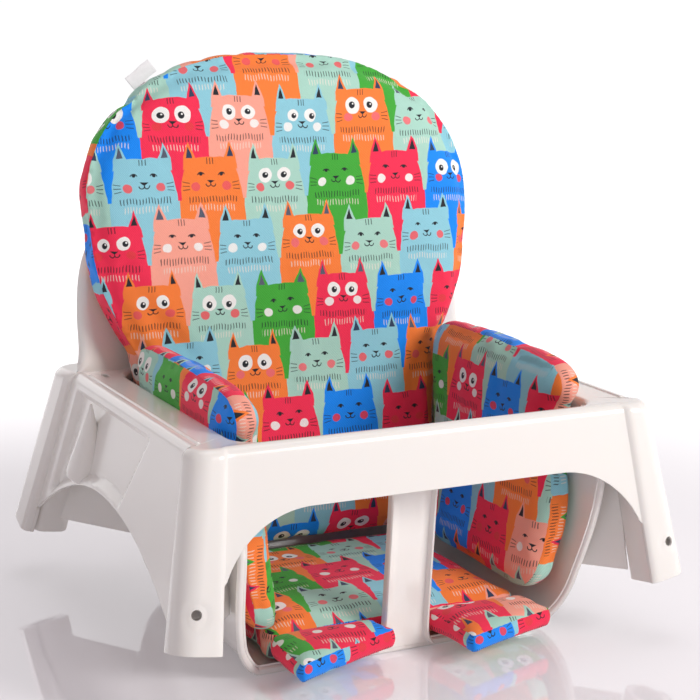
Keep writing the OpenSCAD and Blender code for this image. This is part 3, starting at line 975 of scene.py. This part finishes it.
def cell_of(u, row):
    """Column number and place inside the column, in a row whose cats stand half a pitch aside on odd rows."""
    shifted = u / PITCH + row.mod(2) * 0.5 + 0.5
    col = shifted.floor()
    return col, (shifted - col - 0.5) * PITCH


def random_of(col, row, seed):
    c = V.nt.nodes.new("ShaderNodeCombineXYZ")
    V.nt.links.new(col.s, c.inputs[0])
    V.nt.links.new(row.s, c.inputs[1])
    c.inputs[2].default_value = seed
    n = new_node(V.nt, "TexWhiteNoise", noise_dimensions="3D")
    V.nt.links.new(c.outputs[0], n.inputs["Vector"])
    return V(n.outputs["Value"])


def body_color(col, row):
    pick = (col * 3 + row * 4).mod(len(BODY)) / len(BODY) + 0.02
    return ramp(pick, BODY), pick


def hatch(x, y, y0, half, rand):
    """A short row of upright pen strokes."""
    wob = (x * 0.9).floor().mod(2) * 1.2
    stroke = 0.42 - ((x + rand * 3).mod(2.6) - 1.3).abs()
    inside = least(2.4 - (y - y0 + wob * 0.8).abs(), half - x.abs())
    return least(stroke.soft(0.35), inside.soft(0.4)) * 0.85


def cat_eyes(layer, x, ax, y, r1, r2):
    """Wide open eyes on some cats, small sleepy ones on the others."""
    wide = (r1 > 0.58)
    ex, ey = ax - (8.2 + r2), y - 24
    d = length(ex, ey)
    layer = paint(layer, WHITE, least((5.2 + r2 * 2.0 - d).soft(0.5), wide))
    gx, gy = x - V.op("SIGN", x) * 8.6 + (r2 - 0.5) * 2.4, ey + (r1 - 0.7) * 5
    layer = paint(layer, INK, least((2.3 + r2 * 0.6 - length(gx, gy)).soft(0.4), wide))
    layer = paint(layer, WHITE, least((0.75 - length(gx - 0.8, gy - 0.9)).soft(0.3), wide))
    lid = least((0.45 - (length(ex, ey + 1.6) - 2.9).abs()).soft(0.35), (ey + 0.6).soft(0.4))
    return paint(layer, INK, least(most((1.5 - d).soft(0.4), lid), 1 - wide))


def cat_face(layer, ax, y, pick):
    """Cheeks, nose, mouth and whiskers."""
    cheek = 3.9 - length(ax - 13.6, (y - 14.2) * 1.08)
    layer = paint(layer, ramp((pick * 7).mod(1.0), CHEEK), cheek.soft(0.5) * 0.92)
    nose = least(2.2 - ax - (17.6 - y) * 1.3, 18.6 - y)
    mouth = least((0.42 - (length(ax - 2.1, y - 15.6) - 2.1).abs()).soft(0.35), (15.7 - y).soft(0.4))
    stem = least(0.4 - ax, 17.4 - y, y - 14.4).soft(0.35)
    layer = paint(layer, INK, most(nose.soft(0.4), mouth, stem))
    for dy, tilt in ((16.5, 0.16), (14.2, 0.0), (11.9, -0.16)):
        line = least(0.34 - (y - dy - (ax - 18) * tilt).abs(), 25 - ax, ax - 19)
        layer = paint(layer, INK, line.soft(0.35) * 0.8)
    return layer


def cat(u, row, y, base):
    """Cat over the colour base; y runs up from the row's floor."""
    col, x = cell_of(u, row)
    r1, r2 = random_of(col, row, 1.0), random_of(col, row, 2.0)
    y = y + random_of(col, row, 5.0) * 8
    color, pick = body_color(col, row)
    ax = x.abs()
    inside = 1 - (ax / (27.8 - y * 0.09)) ** 4 - (((y + 26) / 64).abs()) ** 7
    ear = least(51 - y - (ax - 18.2).abs() * (2.1 + r1), 26.6 - y * 0.08 - ax, y - 28)
    inner = least(47.2 - y - (ax - 18.3).abs() * (2.7 + r1), y - 38)
    layer = paint(color, ramp(r2, EAR), inner.soft(0.5))
    layer = cat_face(cat_eyes(layer, x, ax, y, r1, r2), ax, y, pick)
    tuft = least(0.4 - ((ax + 1.2).mod(2.4) - 1.2).abs(), 4.2 - ax, 37.2 - y, y - 32.4)
    layer = paint(layer, INK, tuft.soft(0.35) * 0.8)
    layer = paint(layer, INK, hatch(x, y, 3.6, 22, r1))
    layer = paint(layer, srgb(250, 236, 222), hatch(x, y, -3.4, 20, r2) * 0.75)
    return paint(base, layer, most((inside * 6).soft(0.25), ear.soft(0.6)))


def print_group():
    """Node group: print colour from flat coordinates in millimetres."""
    g = bpy.data.node_groups.new("cat_rows", "ShaderNodeTree")
    g.interface.new_socket("Vector", in_out="INPUT", socket_type="NodeSocketVector")
    g.interface.new_socket("Color", in_out="OUTPUT", socket_type="NodeSocketColor")
    V.nt = g
    gin, gout = g.nodes.new("NodeGroupInput"), g.nodes.new("NodeGroupOutput")
    sep = g.nodes.new("ShaderNodeSeparateXYZ")
    g.links.new(gin.outputs[0], sep.inputs[0])
    u, v = V(sep.outputs[0]), V(sep.outputs[1])
    row = (v / ROW).floor()
    y = v - row * ROW
    back = row + 1
    bcol, bx = cell_of(u, back)
    base, _ = body_color(bcol, back)
    base = paint(base, INK, (0.45 - (30.4 - bx.abs()).abs()).soft(0.5) * 0.35)
    base = paint(base, INK, hatch(bx, y, 40.0, 20, random_of(bcol, back, 1.0)))
    base = cat(u, back, y - ROW, base)
    g.links.new(cat(u, row, y, base), gout.inputs[0])
    return g


def fabric_bump(nt, p, coord):
    """Fine twill and slubs."""
    wave = new_node(nt, "TexWave", {"Scale": 0.42, "Distortion": 0.6, "Detail": 1.0}, bands_direction="DIAGONAL")
    slub = new_node(nt, "TexNoise", {"Scale": 0.9, "Detail": 4})
    both = new_node(nt, "Math", operation="ADD")
    bump = new_node(nt, "Bump", {"Strength": 0.4, "Distance": 0.0005})
    nt.links.new(coord, wave.inputs["Vector"])
    nt.links.new(coord, slub.inputs["Vector"])
    nt.links.new(wave.outputs["Fac"], both.inputs[0])
    nt.links.new(slub.outputs["Fac"], both.inputs[1])
    nt.links.new(both.outputs[0], bump.inputs["Height"])
    nt.links.new(bump.outputs["Normal"], p.inputs["Normal"])


def thread_shade(nt, coord):
    """Brightness of the threads: twill and slow fading."""
    fine = new_node(nt, "TexNoise", {"Scale": 1.6, "Detail": 3})
    twill = new_node(nt, "TexWave", {"Scale": 0.42, "Distortion": 0.8}, bands_direction="DIAGONAL")
    both = new_node(nt, "Math", {1: 0.45}, operation="MULTIPLY_ADD")
    value = new_node(nt, "MapRange", {"From Max": 1.4, "To Min": 0.84, "To Max": 1.12})
    nt.links.new(coord, fine.inputs["Vector"])
    nt.links.new(coord, twill.inputs["Vector"])
    nt.links.new(twill.outputs["Fac"], both.inputs[0])
    nt.links.new(fine.outputs["Fac"], both.inputs[2])
    nt.links.new(both.outputs[0], value.inputs["Value"])
    return value.outputs["Result"]


def print_fabric():
    mat, nt, p = new_material("print_fabric")
    give(p, {"Roughness": 0.72, "Sheen Weight": 0.12, "Sheen Roughness": 0.5, "Specular IOR Level": 0.3})
    flat = new_node(nt, "UVMap", uv_map="print")
    mm = new_node(nt, "VectorMath", {"Scale": 1000.0}, operation="SCALE")
    nt.links.new(flat.outputs[0], mm.inputs[0])
    # hand-drawn wobble
    noise = new_node(nt, "TexNoise", {"Scale": 0.07, "Detail": 2})
    nt.links.new(mm.outputs[0], noise.inputs["Vector"])
    wobble = new_node(nt, "VectorMath", {1: (3.4, 3.4, 0)}, operation="MULTIPLY_ADD")
    nt.links.new(noise.outputs["Color"], wobble.inputs[0])
    nt.links.new(mm.outputs[0], wobble.inputs[2])
    cats = new_node(nt, "Group", node_tree=print_group())
    nt.links.new(wobble.outputs[0], cats.inputs[0])
    hsv = new_node(nt, "HueSaturation")
    nt.links.new(thread_shade(nt, mm.outputs[0]), hsv.inputs["Value"])
    nt.links.new(cats.outputs[0], hsv.inputs["Color"])
    nt.links.new(hsv.outputs["Color"], p.inputs["Base Color"])
    fabric_bump(nt, p, mm.outputs[0])
    return mat


# ---------------------------------------------------------------- padded pieces
SPACE = 6.5               # between the points of a pad
PADS = {}                                       # flat places, sides and distance to the seam, by piece


def fill_outline(ring, step):
    """Points and triangles over a closed outline, and each point's place among outline and filling points."""
    lo, hi = ring.min(0), ring.max(0)
    pts = []
    y, shift = lo[1], 0
    while y < hi[1]:
        x = lo[0] + shift
        while x < hi[0]:
            pts.append((x, y))
            x += step
        y += step * 0.866
        shift = step / 2 - shift
    pts = np.array(pts)
    every = [Vector(p) for p in ring] + [Vector(p) for p in pts[inside_distance(pts, ring) > step * 0.62]]
    v, _, tris, origin, _, _ = delaunay_2d_cdt(every, [], [list(range(len(ring)))], 1, 1e-4)
    where = [o[0] for o in origin]
    return np.array([tuple(every[w]) for w in where]), [tuple(t) for t in tris], where


def inside_distance(pts, ring):
    """Distance from each point to the outline, negative outside."""
    a, b = ring, np.roll(ring, -1, axis=0)
    best = np.full(len(pts), 1e9)
    wind = np.zeros(len(pts), bool)
    for p, q in zip(a, b):
        d = q - p
        t = np.clip(((pts - p) @ d) / (d @ d), 0, 1)
        best = np.minimum(best, np.linalg.norm(pts - (p + t[:, None] * d), axis=1))
        cross = ((p[1] > pts[:, 1]) != (q[1] > pts[:, 1]))
        with np.errstate(divide="ignore", invalid="ignore"):
            xx = (q[0] - p[0]) * (pts[:, 1] - p[1]) / (q[1] - p[1]) + p[0]
        wind ^= cross & (pts[:, 0] < xx)
    return np.where(wind, best, -best)


SEAM_HOLD = 0.55                                # how firmly the seams stay in place while a pad swells


def pad_strip(ring, levels, uv_side):
    """Rows of the strip between the seams, a little fuller at mid height."""
    n, lo, hi = len(ring), levels[0], levels[-1]
    out = np.roll(ring, -1, axis=0) - np.roll(ring, 1, axis=0)
    out = np.stack([out[:, 1], -out[:, 0]], 1)
    out /= np.linalg.norm(out, axis=1)[:, None]
    along = np.concatenate([[0], np.cumsum(np.linalg.norm(np.diff(np.vstack([ring, ring[:1]]), axis=0), axis=1))])
    verts, uvs = [], []
    for h in levels:
        full = 1.6 * math.sin(math.pi * ((h - lo) / (hi - lo)))
        verts += [(p[0] + d[0] * full, p[1] + d[1] * full, h) for p, d in zip(ring, out)]
    for a, b in zip(levels[:-1], levels[1:]):
        for i in range(n):
            s0, s1 = along[i], along[i + 1]
            uvs.append([uv_side(s0, a), uv_side(s1, a), uv_side(s1, b), uv_side(s0, b)])
    return verts, grid_faces(len(levels), n, close=True), uvs


def pad_mesh(name, outline2, levels, crown, to_world, uv_of, mat, reach=45.0):
    """Closed pad: a front and a back panel on the same outline with a strip between, joined along two seams.
    levels: heights of back seam, strip rows and front seam; crown: swell of front and back at their middle;
    uv_of: places in the print for the front, the strip and the back."""
    ring = resample(spline(outline2, 8), SPACE)
    c = ring.mean(0)
    if np.cross(ring[0] - c, ring[1] - c) < 0:
        ring = ring[::-1]
    n = len(ring)
    pos, tris, where = fill_outline(ring, SPACE)
    swell = 1 - (1 - np.clip(inside_distance(pos, ring) / reach, 0, 1)) ** 2.2
    verts, faces, uvs = pad_strip(ring, levels, uv_of[1])
    lo, hi, rows = levels[0], levels[-1], len(levels)
    for base, z0, top, uv in (((rows - 1) * n, hi, crown[0], uv_of[0]), (0, lo, -crown[1], uv_of[2])):
        idx = []
        for q, w in enumerate(where):
            idx.append(base + w if w < n else len(verts))
            if w >= n:
                verts.append((pos[q][0], pos[q][1], z0 + top * swell[q]))
        for t in tris:
            a, b = pos[t[1]] - pos[t[0]], pos[t[2]] - pos[t[0]]
            t = t if (a[0] * b[1] - a[1] * b[0] > 0) == (top > 0) else t[::-1]
            faces.append(tuple(idx[q] for q in t))
            uvs.append([uv(pos[q]) for q in t])
    me = bpy.data.meshes.new(name)
    me.from_pydata([tuple(c * MM for c in to_world(v)) for v in verts], [], faces)
    lay = me.uv_layers.new(name="print")
    lay.data.foreach_set("uv", np.array([p for q in uvs for p in q]).ravel() * MM)
    me.materials.append(mat)
    o = bpy.data.objects.new(name, me)
    bpy.context.scene.collection.objects.link(o)
    seams = list(range(n)) + list(range((rows - 1) * n, rows * n))
    o.vertex_groups.new(name="hold").add(seams, SEAM_HOLD, "REPLACE")
    bm = bmesh.new()
    bm.from_mesh(me)
    if bm.calc_volume(signed=True) < 0:
        bmesh.ops.reverse_faces(bm, faces=bm.faces)
        bm.to_mesh(me)
    bm.free()
    o["seams"] = [n, rows]
    flat = np.array([v[:2] for v in verts])
    side_of = np.sign(np.array([v[2] for v in verts]) - (lo + hi) / 2)
    side_of[:rows * n] = 0
    PADS[name] = (flat, side_of, np.abs(inside_distance(flat, ring)))
    return o


def push(o, d):
    """Moves the points of a piece along their normals by d (mm)."""
    me = o.data
    me.update()
    nor = np.array([v.normal for v in me.vertices])
    co = np.array([v.co for v in me.vertices]) + nor * (d * MM)[:, None]
    me.vertices.foreach_set("co", co.ravel())
    me.update()


def wrinkle(o, folds=(), pucker=0.5, seed=3):
    """Small gathers along the seams and soft grooves along the given lines: (a, b, width, depth)."""
    flat, side_of, away = PADS[o.name]
    c = flat.mean(0)
    ang = np.arctan2(flat[:, 1] - c[1], flat[:, 0] - c[0]) * np.linalg.norm(flat - c, axis=1).max()
    wave = np.sin(ang / 3.1 + seed) * 0.6 + np.sin(ang / 4.7 + 2.1 * seed) * 0.5 + np.sin(ang / 8.3) * 0.4
    d = pucker * wave * np.exp(-away / 11.0) * (np.abs(side_of) > 0)
    for a, b, width, depth in folds:
        a, b = np.array(a, float), np.array(b, float)
        t = np.clip(((flat - a) @ (b - a)) / ((b - a) @ (b - a)), 0, 1)
        off = flat - (a + t[:, None] * (b - a))
        side = off @ np.array([-(b - a)[1], (b - a)[0]]) / np.linalg.norm(b - a)
        r = np.linalg.norm(off, axis=1)
        ends = np.sin(np.clip(t, 0.03, 0.97) * math.pi) ** 0.6
        groove = -np.exp(-(r / width) ** 2) + 0.55 * np.exp(-((r - 1.7 * width) / width) ** 2) * (side > 0)
        d += depth * groove * ends * (side_of > 0)
    push(o, d)


CLOTH_FRAMES = 20


def inflate(o, pressure, cap):
    """Cloth pressure on the closed pad, with how far a point may move kept to cap (mm)."""
    rest = np.array([v.co for v in o.data.vertices])
    mod = o.modifiers.new("cloth", "CLOTH")
    st = mod.settings
    st.quality, st.mass, st.air_damping = 6, 0.25, 6
    st.tension_stiffness = st.compression_stiffness = 18
    st.shear_stiffness, st.bending_stiffness = 8, 0.35
    st.use_pressure, st.uniform_pressure_force = True, pressure
    st.vertex_group_mass = "hold"
    st.pin_stiffness = 0.8
    st.shrink_min = -0.035
    st.effector_weights.gravity = 0
    mod.collision_settings.use_collision = False
    mod.collision_settings.use_self_collision = False
    sc = bpy.context.scene
    for f in range(1, CLOTH_FRAMES + 1):
        sc.frame_set(f)
    bake_keep(o)
    sc.frame_set(1)
    now = np.array([v.co for v in o.data.vertices])
    d = now - rest
    ln = np.linalg.norm(d, axis=1)
    lim = cap * MM
    k = np.where(ln > 1e-9, lim * np.tanh(ln / lim) / np.maximum(ln, 1e-9), 1)
    o.data.vertices.foreach_set("co", (rest + d * k[:, None]).ravel())
    o.data.update()


def bake_keep(o):
    """Applies the modifiers in place, keeping UVs and groups."""
    bpy.context.view_layer.update()
    deps = bpy.context.evaluated_depsgraph_get()
    ev = o.evaluated_get(deps)
    co = np.array([v.co for v in ev.data.vertices])
    o.modifiers.clear()
    o.data.vertices.foreach_set("co", co.ravel())
    o.data.update()


SEAM_PULL = 0.9


def refine(o):
    """Pulls the seams in a little, then subdivides once and smooths the shading."""
    me = o.data
    n, rows = o["seams"][0], o["seams"][1]
    pull = np.zeros(len(me.vertices))
    for base in (0, (rows - 1) * n):
        pull[base:base + n] = -SEAM_PULL
    push(o, pull)
    crease = me.attributes.new("crease_edge", "FLOAT", "EDGE")
    vals = np.zeros(len(me.edges))
    for e in me.edges:
        a, b = e.vertices
        for base in (0, (rows - 1) * n):
            if base <= a < base + n and base <= b < base + n:
                vals[e.index] = 0.45
    crease.data.foreach_set("value", vals)
    sub = o.modifiers.new("sub", "SUBSURF")
    sub.levels = sub.render_levels = 1
    sub.uv_smooth = "PRESERVE_BOUNDARIES"
    bpy.context.view_layer.update()
    deps = bpy.context.evaluated_depsgraph_get()
    new = bpy.data.meshes.new_from_object(o.evaluated_get(deps), preserve_all_data_layers=True, depsgraph=deps)
    o.modifiers.clear()
    o.data = new
    if "crease_edge" in new.attributes:
        new.attributes.remove(new.attributes["crease_edge"])
    new.polygons.foreach_set("use_smooth", [True] * len(new.polygons))
    o.vertex_groups.clear()


LEAN = math.atan(0.165)
# half width of the back pad by distance up from its foot
BACK_HALF = [(14, 122), (60, 133), (100, 138), (146, 146), (160, 150), (180, 160), (215, 174), (255, 181),
             (300, 181), (335, 172), (362, 154), (384, 128)]


def back_world(p):
    """From the back pad's own plane (across, up, forward) to the chair."""
    x, s, t = p
    return (x, 100 + s * math.sin(LEAN) - t * math.cos(LEAN), 48 + s * math.cos(LEAN) + t * math.sin(LEAN))


def back_outline(g):
    """Outline of the back pad, moved in by g."""
    right = [(96 - g, -10), (104 - g, -4)] + [(w - g, s + (g if s < 20 else 0)) for s, w in BACK_HALF]
    right += [(98 - g * 0.8, 400 - g * 0.7), (66, 410 - g), (33, 415 - g), (0, 416 - g)]
    return right + [(-x, s) for x, s in right[-2::-1]]


# outline of a wing, as (y, z)
WING = [(-90, 35), (-112, 42), (-121, 62), (-124, 95), (-122, 125), (-115, 145), (-113, 165), (-116, 188),
        (-122, 200), (-120, 212), (-106, 221), (-80, 226), (-30, 229), (30, 228), (70, 224), (84, 214), (86, 196),
        (80, 160), (66, 80), (58, 52), (40, 38), (-20, 35)]


def wing_world(s):
    """Against the side wall of the tub, whose lean and rounded foot it follows."""
    def f(p):
        y, z, t = p
        tuck = 10 * (max(104 - z, 0) / 64) ** 2
        return (s * (142 - t + 0.065 * (z - 44) - tuck), y, z)
    return f


def shrink(poly, g):
    """The outline with each point moved g towards its middle."""
    p = np.array(poly, float)
    c = p.mean(0)
    d = p - c
    r = np.linalg.norm(d, axis=1)[:, None]
    return [tuple(q) for q in c + d * (1 - g / r)]


def swell(pad, nodes, pressure, cap, folds, pucker, seed, fill):
    inflate(pad, pressure, cap)
    wrinkle(pad, folds, pucker, seed)
    refine(pad)
    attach(pad, "cushion")
    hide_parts(*nodes)


# folds of the pads, as (from, to, width, depth) on their own flat outlines
BACK_FOLDS = [((-8, 250), (-14, 95), 7, 1.5), ((22, 240), (18, 150), 6, 0.9), ((-128, 190), (-98, 60), 8, 2.4),
              ((-150, 215), (-95, 150), 7, 1.8), ((128, 185), (100, 60), 8, 2.4), ((150, 215), (92, 168), 7, 1.9),
              ((-90, 70), (60, 52), 9, 1.6), ((70, 100), (110, 240), 7, 1.0), ((-165, 262), (-135, 200), 6, 1.2),
              ((40, 395), (20, 350), 6, 0.7), ((-120, 330), (-95, 300), 6, 0.8)]
WING_FOLDS = [((30, 220), (10, 120), 7, 1.6), ((-40, 222), (-52, 130), 7, 1.3), ((-100, 190), (-70, 120), 6, 1.2),
              ((60, 200), (35, 150), 6, 1.4), ((-20, 90), (20, 70), 8, 1.2)]
SEAT_FOLDS = [((-92, -60), (-30, -72), 7, 1.4), ((92, -66), (34, -78), 7, 1.4), ((-80, 40), (70, 52), 9, 1.2),
              ((-40, -90), (-34, -20), 7, 1.0), ((50, -90), (42, -30), 7, 1.0)]
SEAT = [(-106, -96), (-60, -97), (0, -97), (60, -97), (106, -96), (108, -60), (108, 0), (108, 60), (104, 86),
        (60, 88), (0, 88), (-60, 88), (-104, 86), (-108, 60), (-108, 0), (-108, -60)]
FLAPS = {"right": [(28, -102), (29, -130), (31, -158), (32, -167), (41, -163), (72, -153), (108, -142),
                   (118, -139), (116, -130), (110, -102), (70, -101)],
         "left": [(-108, -102), (-114, -130), (-114, -156), (-114, -165), (-106, -161), (-66, -146), (-28, -132),
                  (-18, -129), (-21, -122), (-26, -112), (-26, -102), (-66, -101)]}


def build_back(mat):
    uv = (lambda p: (p[0] + 14, p[1] + 22), lambda a, h: (a + 7, 418 + h), lambda p: (-p[0] + 40, p[1] + 22))
    pad = pad_mesh("back_pad", back_outline(2.0), [4, 10, 16, 22, 28], (6.0, 2.5), back_world, uv, mat)
    swell(pad, ["back_cover_front", "back_cover_rear", "back_side_strip", "back_filling"], 3.4, 8, BACK_FOLDS,
          0.75, 3, 0.75)


def build_wing(s, mat):
    w = "right" if s > 0 else "left"
    uv = (lambda p: (-s * p[0] + 60, p[1] + 40), lambda a, h: (a + 20, 240 + h), lambda p: (s * p[0], p[1] + 10))
    pad = pad_mesh(w + "_wing_pad", shrink(WING, 1.5), [3, 8, 14, 19.5], (5.5, 2.2), wing_world(s), uv, mat, 30)
    swell(pad, [w + "_wing_cover", w + "_wing_filling"], 3.6, 7, WING_FOLDS, 0.7, 5 + s, 0.7)


def build_seat(mat):
    uv = (lambda p: (p[0] + 8, p[1] + 130), lambda a, h: (a + 11, 80 + h), lambda p: (p[0], p[1]))
    pad = pad_mesh("seat_pad", SEAT, [6.5, 12, 20, 27], (6.5, 1.5), lambda p: p, uv, mat)
    swell(pad, ["seat_cover", "seat_filling"], 3.0, 5, SEAT_FOLDS, 0.6, 8, 0.7)


def build_flap(w, mat):
    """Flap through a leg opening; the real flap folds up while the cushion is lifted past the strap."""
    uv = (lambda p: (p[0] + 8, p[1] + 130), lambda a, h: (a + 30, 190 + h), lambda p: (p[0], p[1]))
    pad = pad_mesh(w + "_flap_pad", FLAPS[w], [13.5, 18, 23, 28], (3.6, 1.2), lambda p: p, uv, mat, 26)
    swell(pad, [w + "_seat_flap"], 3.0, 4, (), 0.55, 11, 0.7)
    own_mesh(pad)


# ---------------------------------------------------------------- label and zip
def thread_material(name, color, rough, metal=0.0, scale=900):
    mat, nt, p = new_material(name)
    give(p, {"Roughness": rough, "Metallic": metal})
    place = new_node(nt, "TexCoord")
    wave = new_node(nt, "TexWave", {"Scale": scale, "Distortion": 1.5})
    noise = new_node(nt, "TexNoise", {"Scale": 220})
    tint = new_node(nt, "ValToRGB")
    tint.color_ramp.elements[0].color = tuple(c * 0.82 for c in color) + (1,)
    tint.color_ramp.elements[1].color = color + (1,)
    bump = new_node(nt, "Bump", {"Strength": 0.3, "Distance": 0.0003})
    nt.links.new(place.outputs["Object"], wave.inputs["Vector"])
    nt.links.new(place.outputs["Object"], noise.inputs["Vector"])
    nt.links.new(noise.outputs["Fac"], tint.inputs[0])
    nt.links.new(tint.outputs[0], p.inputs["Base Color"])
    nt.links.new(wave.outputs["Fac"], bump.inputs["Height"])
    nt.links.new(bump.outputs["Normal"], p.inputs["Normal"])
    return mat


def turned_label(p):
    """From the label's own flat place to the back pad's edge."""
    a = math.radians(38)
    x, y, t = p
    return back_world((-118 + x * math.cos(a) - y * math.sin(a), 392 + x * math.sin(a) + y * math.cos(a), 17 + t))


def build_label():
    """Folded ribbon label: out from the seam, over and back in."""
    prof = spline([(1.0, -0.5), (4, -0.62), (8, -0.7), (11.5, -0.62), (13.0, -0.35), (13.4, 0.0), (13.0, 0.35),
                   (11.5, 0.6), (8, 0.72), (4, 0.66), (1.0, 0.5)], 3, closed=False)
    xs = np.linspace(-13, 13, 27)
    verts = [turned_label((x, y + 0.25 * math.sin(x * 0.35), t + 0.35 * math.sin(x * 0.24 + 0.6) * y / 13))
             for y, t in prof for x in xs]
    white = thread_material("label_weave", (0.9, 0.9, 0.91), 0.55)
    label = make("size_label", verts, grid_faces(len(prof), len(xs)), [white], sharp=60)
    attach(label, "cushion")
    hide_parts("label_tag")


ZIP_UP = 350                                    # height of the zip on the back pad
SLIDER_X = -94                                  # where the slider waits


def on_zip(x, up, t):
    return back_world((x, ZIP_UP + up, t))


def build_tape():
    half = [(-12, 0.0), (-11.2, 0.35), (-10, 0.2), (-7, 0.1), (-3.4, 0.25), (-1.6, 0.5)]
    cross = half + [(0, 0.3)] + [(-a, b) for a, b in half[::-1]]
    cross += [(a, -0.5) for a, _ in cross[::-1]]
    rings = [[on_zip(x, a, -0.62 - b * 0.8 + 0.12 * math.sin(x * 0.5 + a)) for a, b in cross]
             for x in np.linspace(-110, 110, 111)]
    mat = thread_material("zip_weave", (0.86, 0.86, 0.87), 0.75)
    tape = loft("zip_tape_band", rings, [mat], sharp=50)
    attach(tape, "cushion")
    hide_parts("zip_tape")


def build_coil():
    """Interlocked teeth, turn about from either side."""
    mat = thread_material("zip_coil_nylon", (0.8, 0.81, 0.83), 0.35)
    teeth = []
    for k in range(138):
        x, s = -103.5 + k * 1.5, 1 if k % 2 else -1
        path = [(-1.9 * s, 0.1), (-0.8 * s, 0.42), (0.6 * s, 0.45), (1.3 * s, 0.1)]
        rows = [[on_zip(x + 0.55 * c, up, -1.85 - h - 0.62 * e) for c, e in circle(10)] for up, h in path]
        teeth.append(loft("tooth", rows, [mat], sharp=60))
    coil = join("zip_coil_teeth", teeth)
    shade(coil, 60)
    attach(coil, "cushion")
    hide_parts("zip_coil")


def build_slider(metal):
    """Two plates joined by a post."""
    out = spline([(-5.4, -2.6), (-3.4, -4.1), (1.5, -4.1), (5.4, -3.0), (5.0, 0), (5.4, 3.0), (1.5, 4.1),
                  (-3.4, 4.1), (-5.4, 2.6), (-4.9, 0)], 5)
    parts = []
    for lo, hi in ((-4.35, -3.3), (-1.9, -1.45)):
        rings = [[on_zip(SLIDER_X + a * g, b * g, t) for a, b in out]
                 for t, g in ((lo, 0.93), (lo + 0.2, 1.0), (hi - 0.2, 1.0), (hi, 0.93))]
        parts.append(loft("slider", rings, [metal], sharp=50))
    post = [[on_zip(SLIDER_X - 3.6 + 0.8 * c, 1.3 * e, t) for c, e in circle(16)] for t in (-3.5, -1.7)]
    slider = join("zip_slider_body_metal", parts + [loft("slider", post, [metal], sharp=50)])
    shade(slider, 50)
    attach(slider, "zip_slider_body")
    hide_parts("zip_slider")


def build_pull(metal):
    """Tab with a hole near its end."""
    side = [(-2.0, 1.6), (-2.2, -6), (-2.5, -14), (-2.5, -18), (-1.2, -19.7)]
    outer = spline(side + [(-a, b) for a, b in side[::-1]] + [(0, 1.95)], 5)
    rings = [[on_zip(SLIDER_X + a * g, b * g - (1 - g) * 9, t) for a, b in outer]
             for t, g in ((-5.95, 0.94), (-5.75, 1.0), (-4.95, 1.0), (-4.75, 0.94))]
    pull = loft("zip_pull_tab", rings, [metal], sharp=50)
    hole = Vector(on_zip(SLIDER_X, -16.5, 0))
    cut(pull, [cylinder(hole, Vector(on_zip(SLIDER_X, -16.5, -10)) - hole, 1.3, -5, 20, 24)])
    shade(pull, 50)
    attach(pull, "zip_slider_body")
    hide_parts("zip_pull")


def build_cushion():
    fabric = print_fabric()
    build_back(fabric)
    for s in SIDES[::-1]:
        build_wing(s, fabric)
    build_seat(fabric)
    for w in FLAPS:
        build_flap(w, fabric)
    build_label()
    build_tape()
    build_coil()
    metal = thread_material("zip_metal", (0.62, 0.62, 0.63), 0.28, metal=1.0, scale=60)
    build_slider(metal)
    build_pull(metal)


add_camera()
add_stage()
build_shell()
build_cushion()
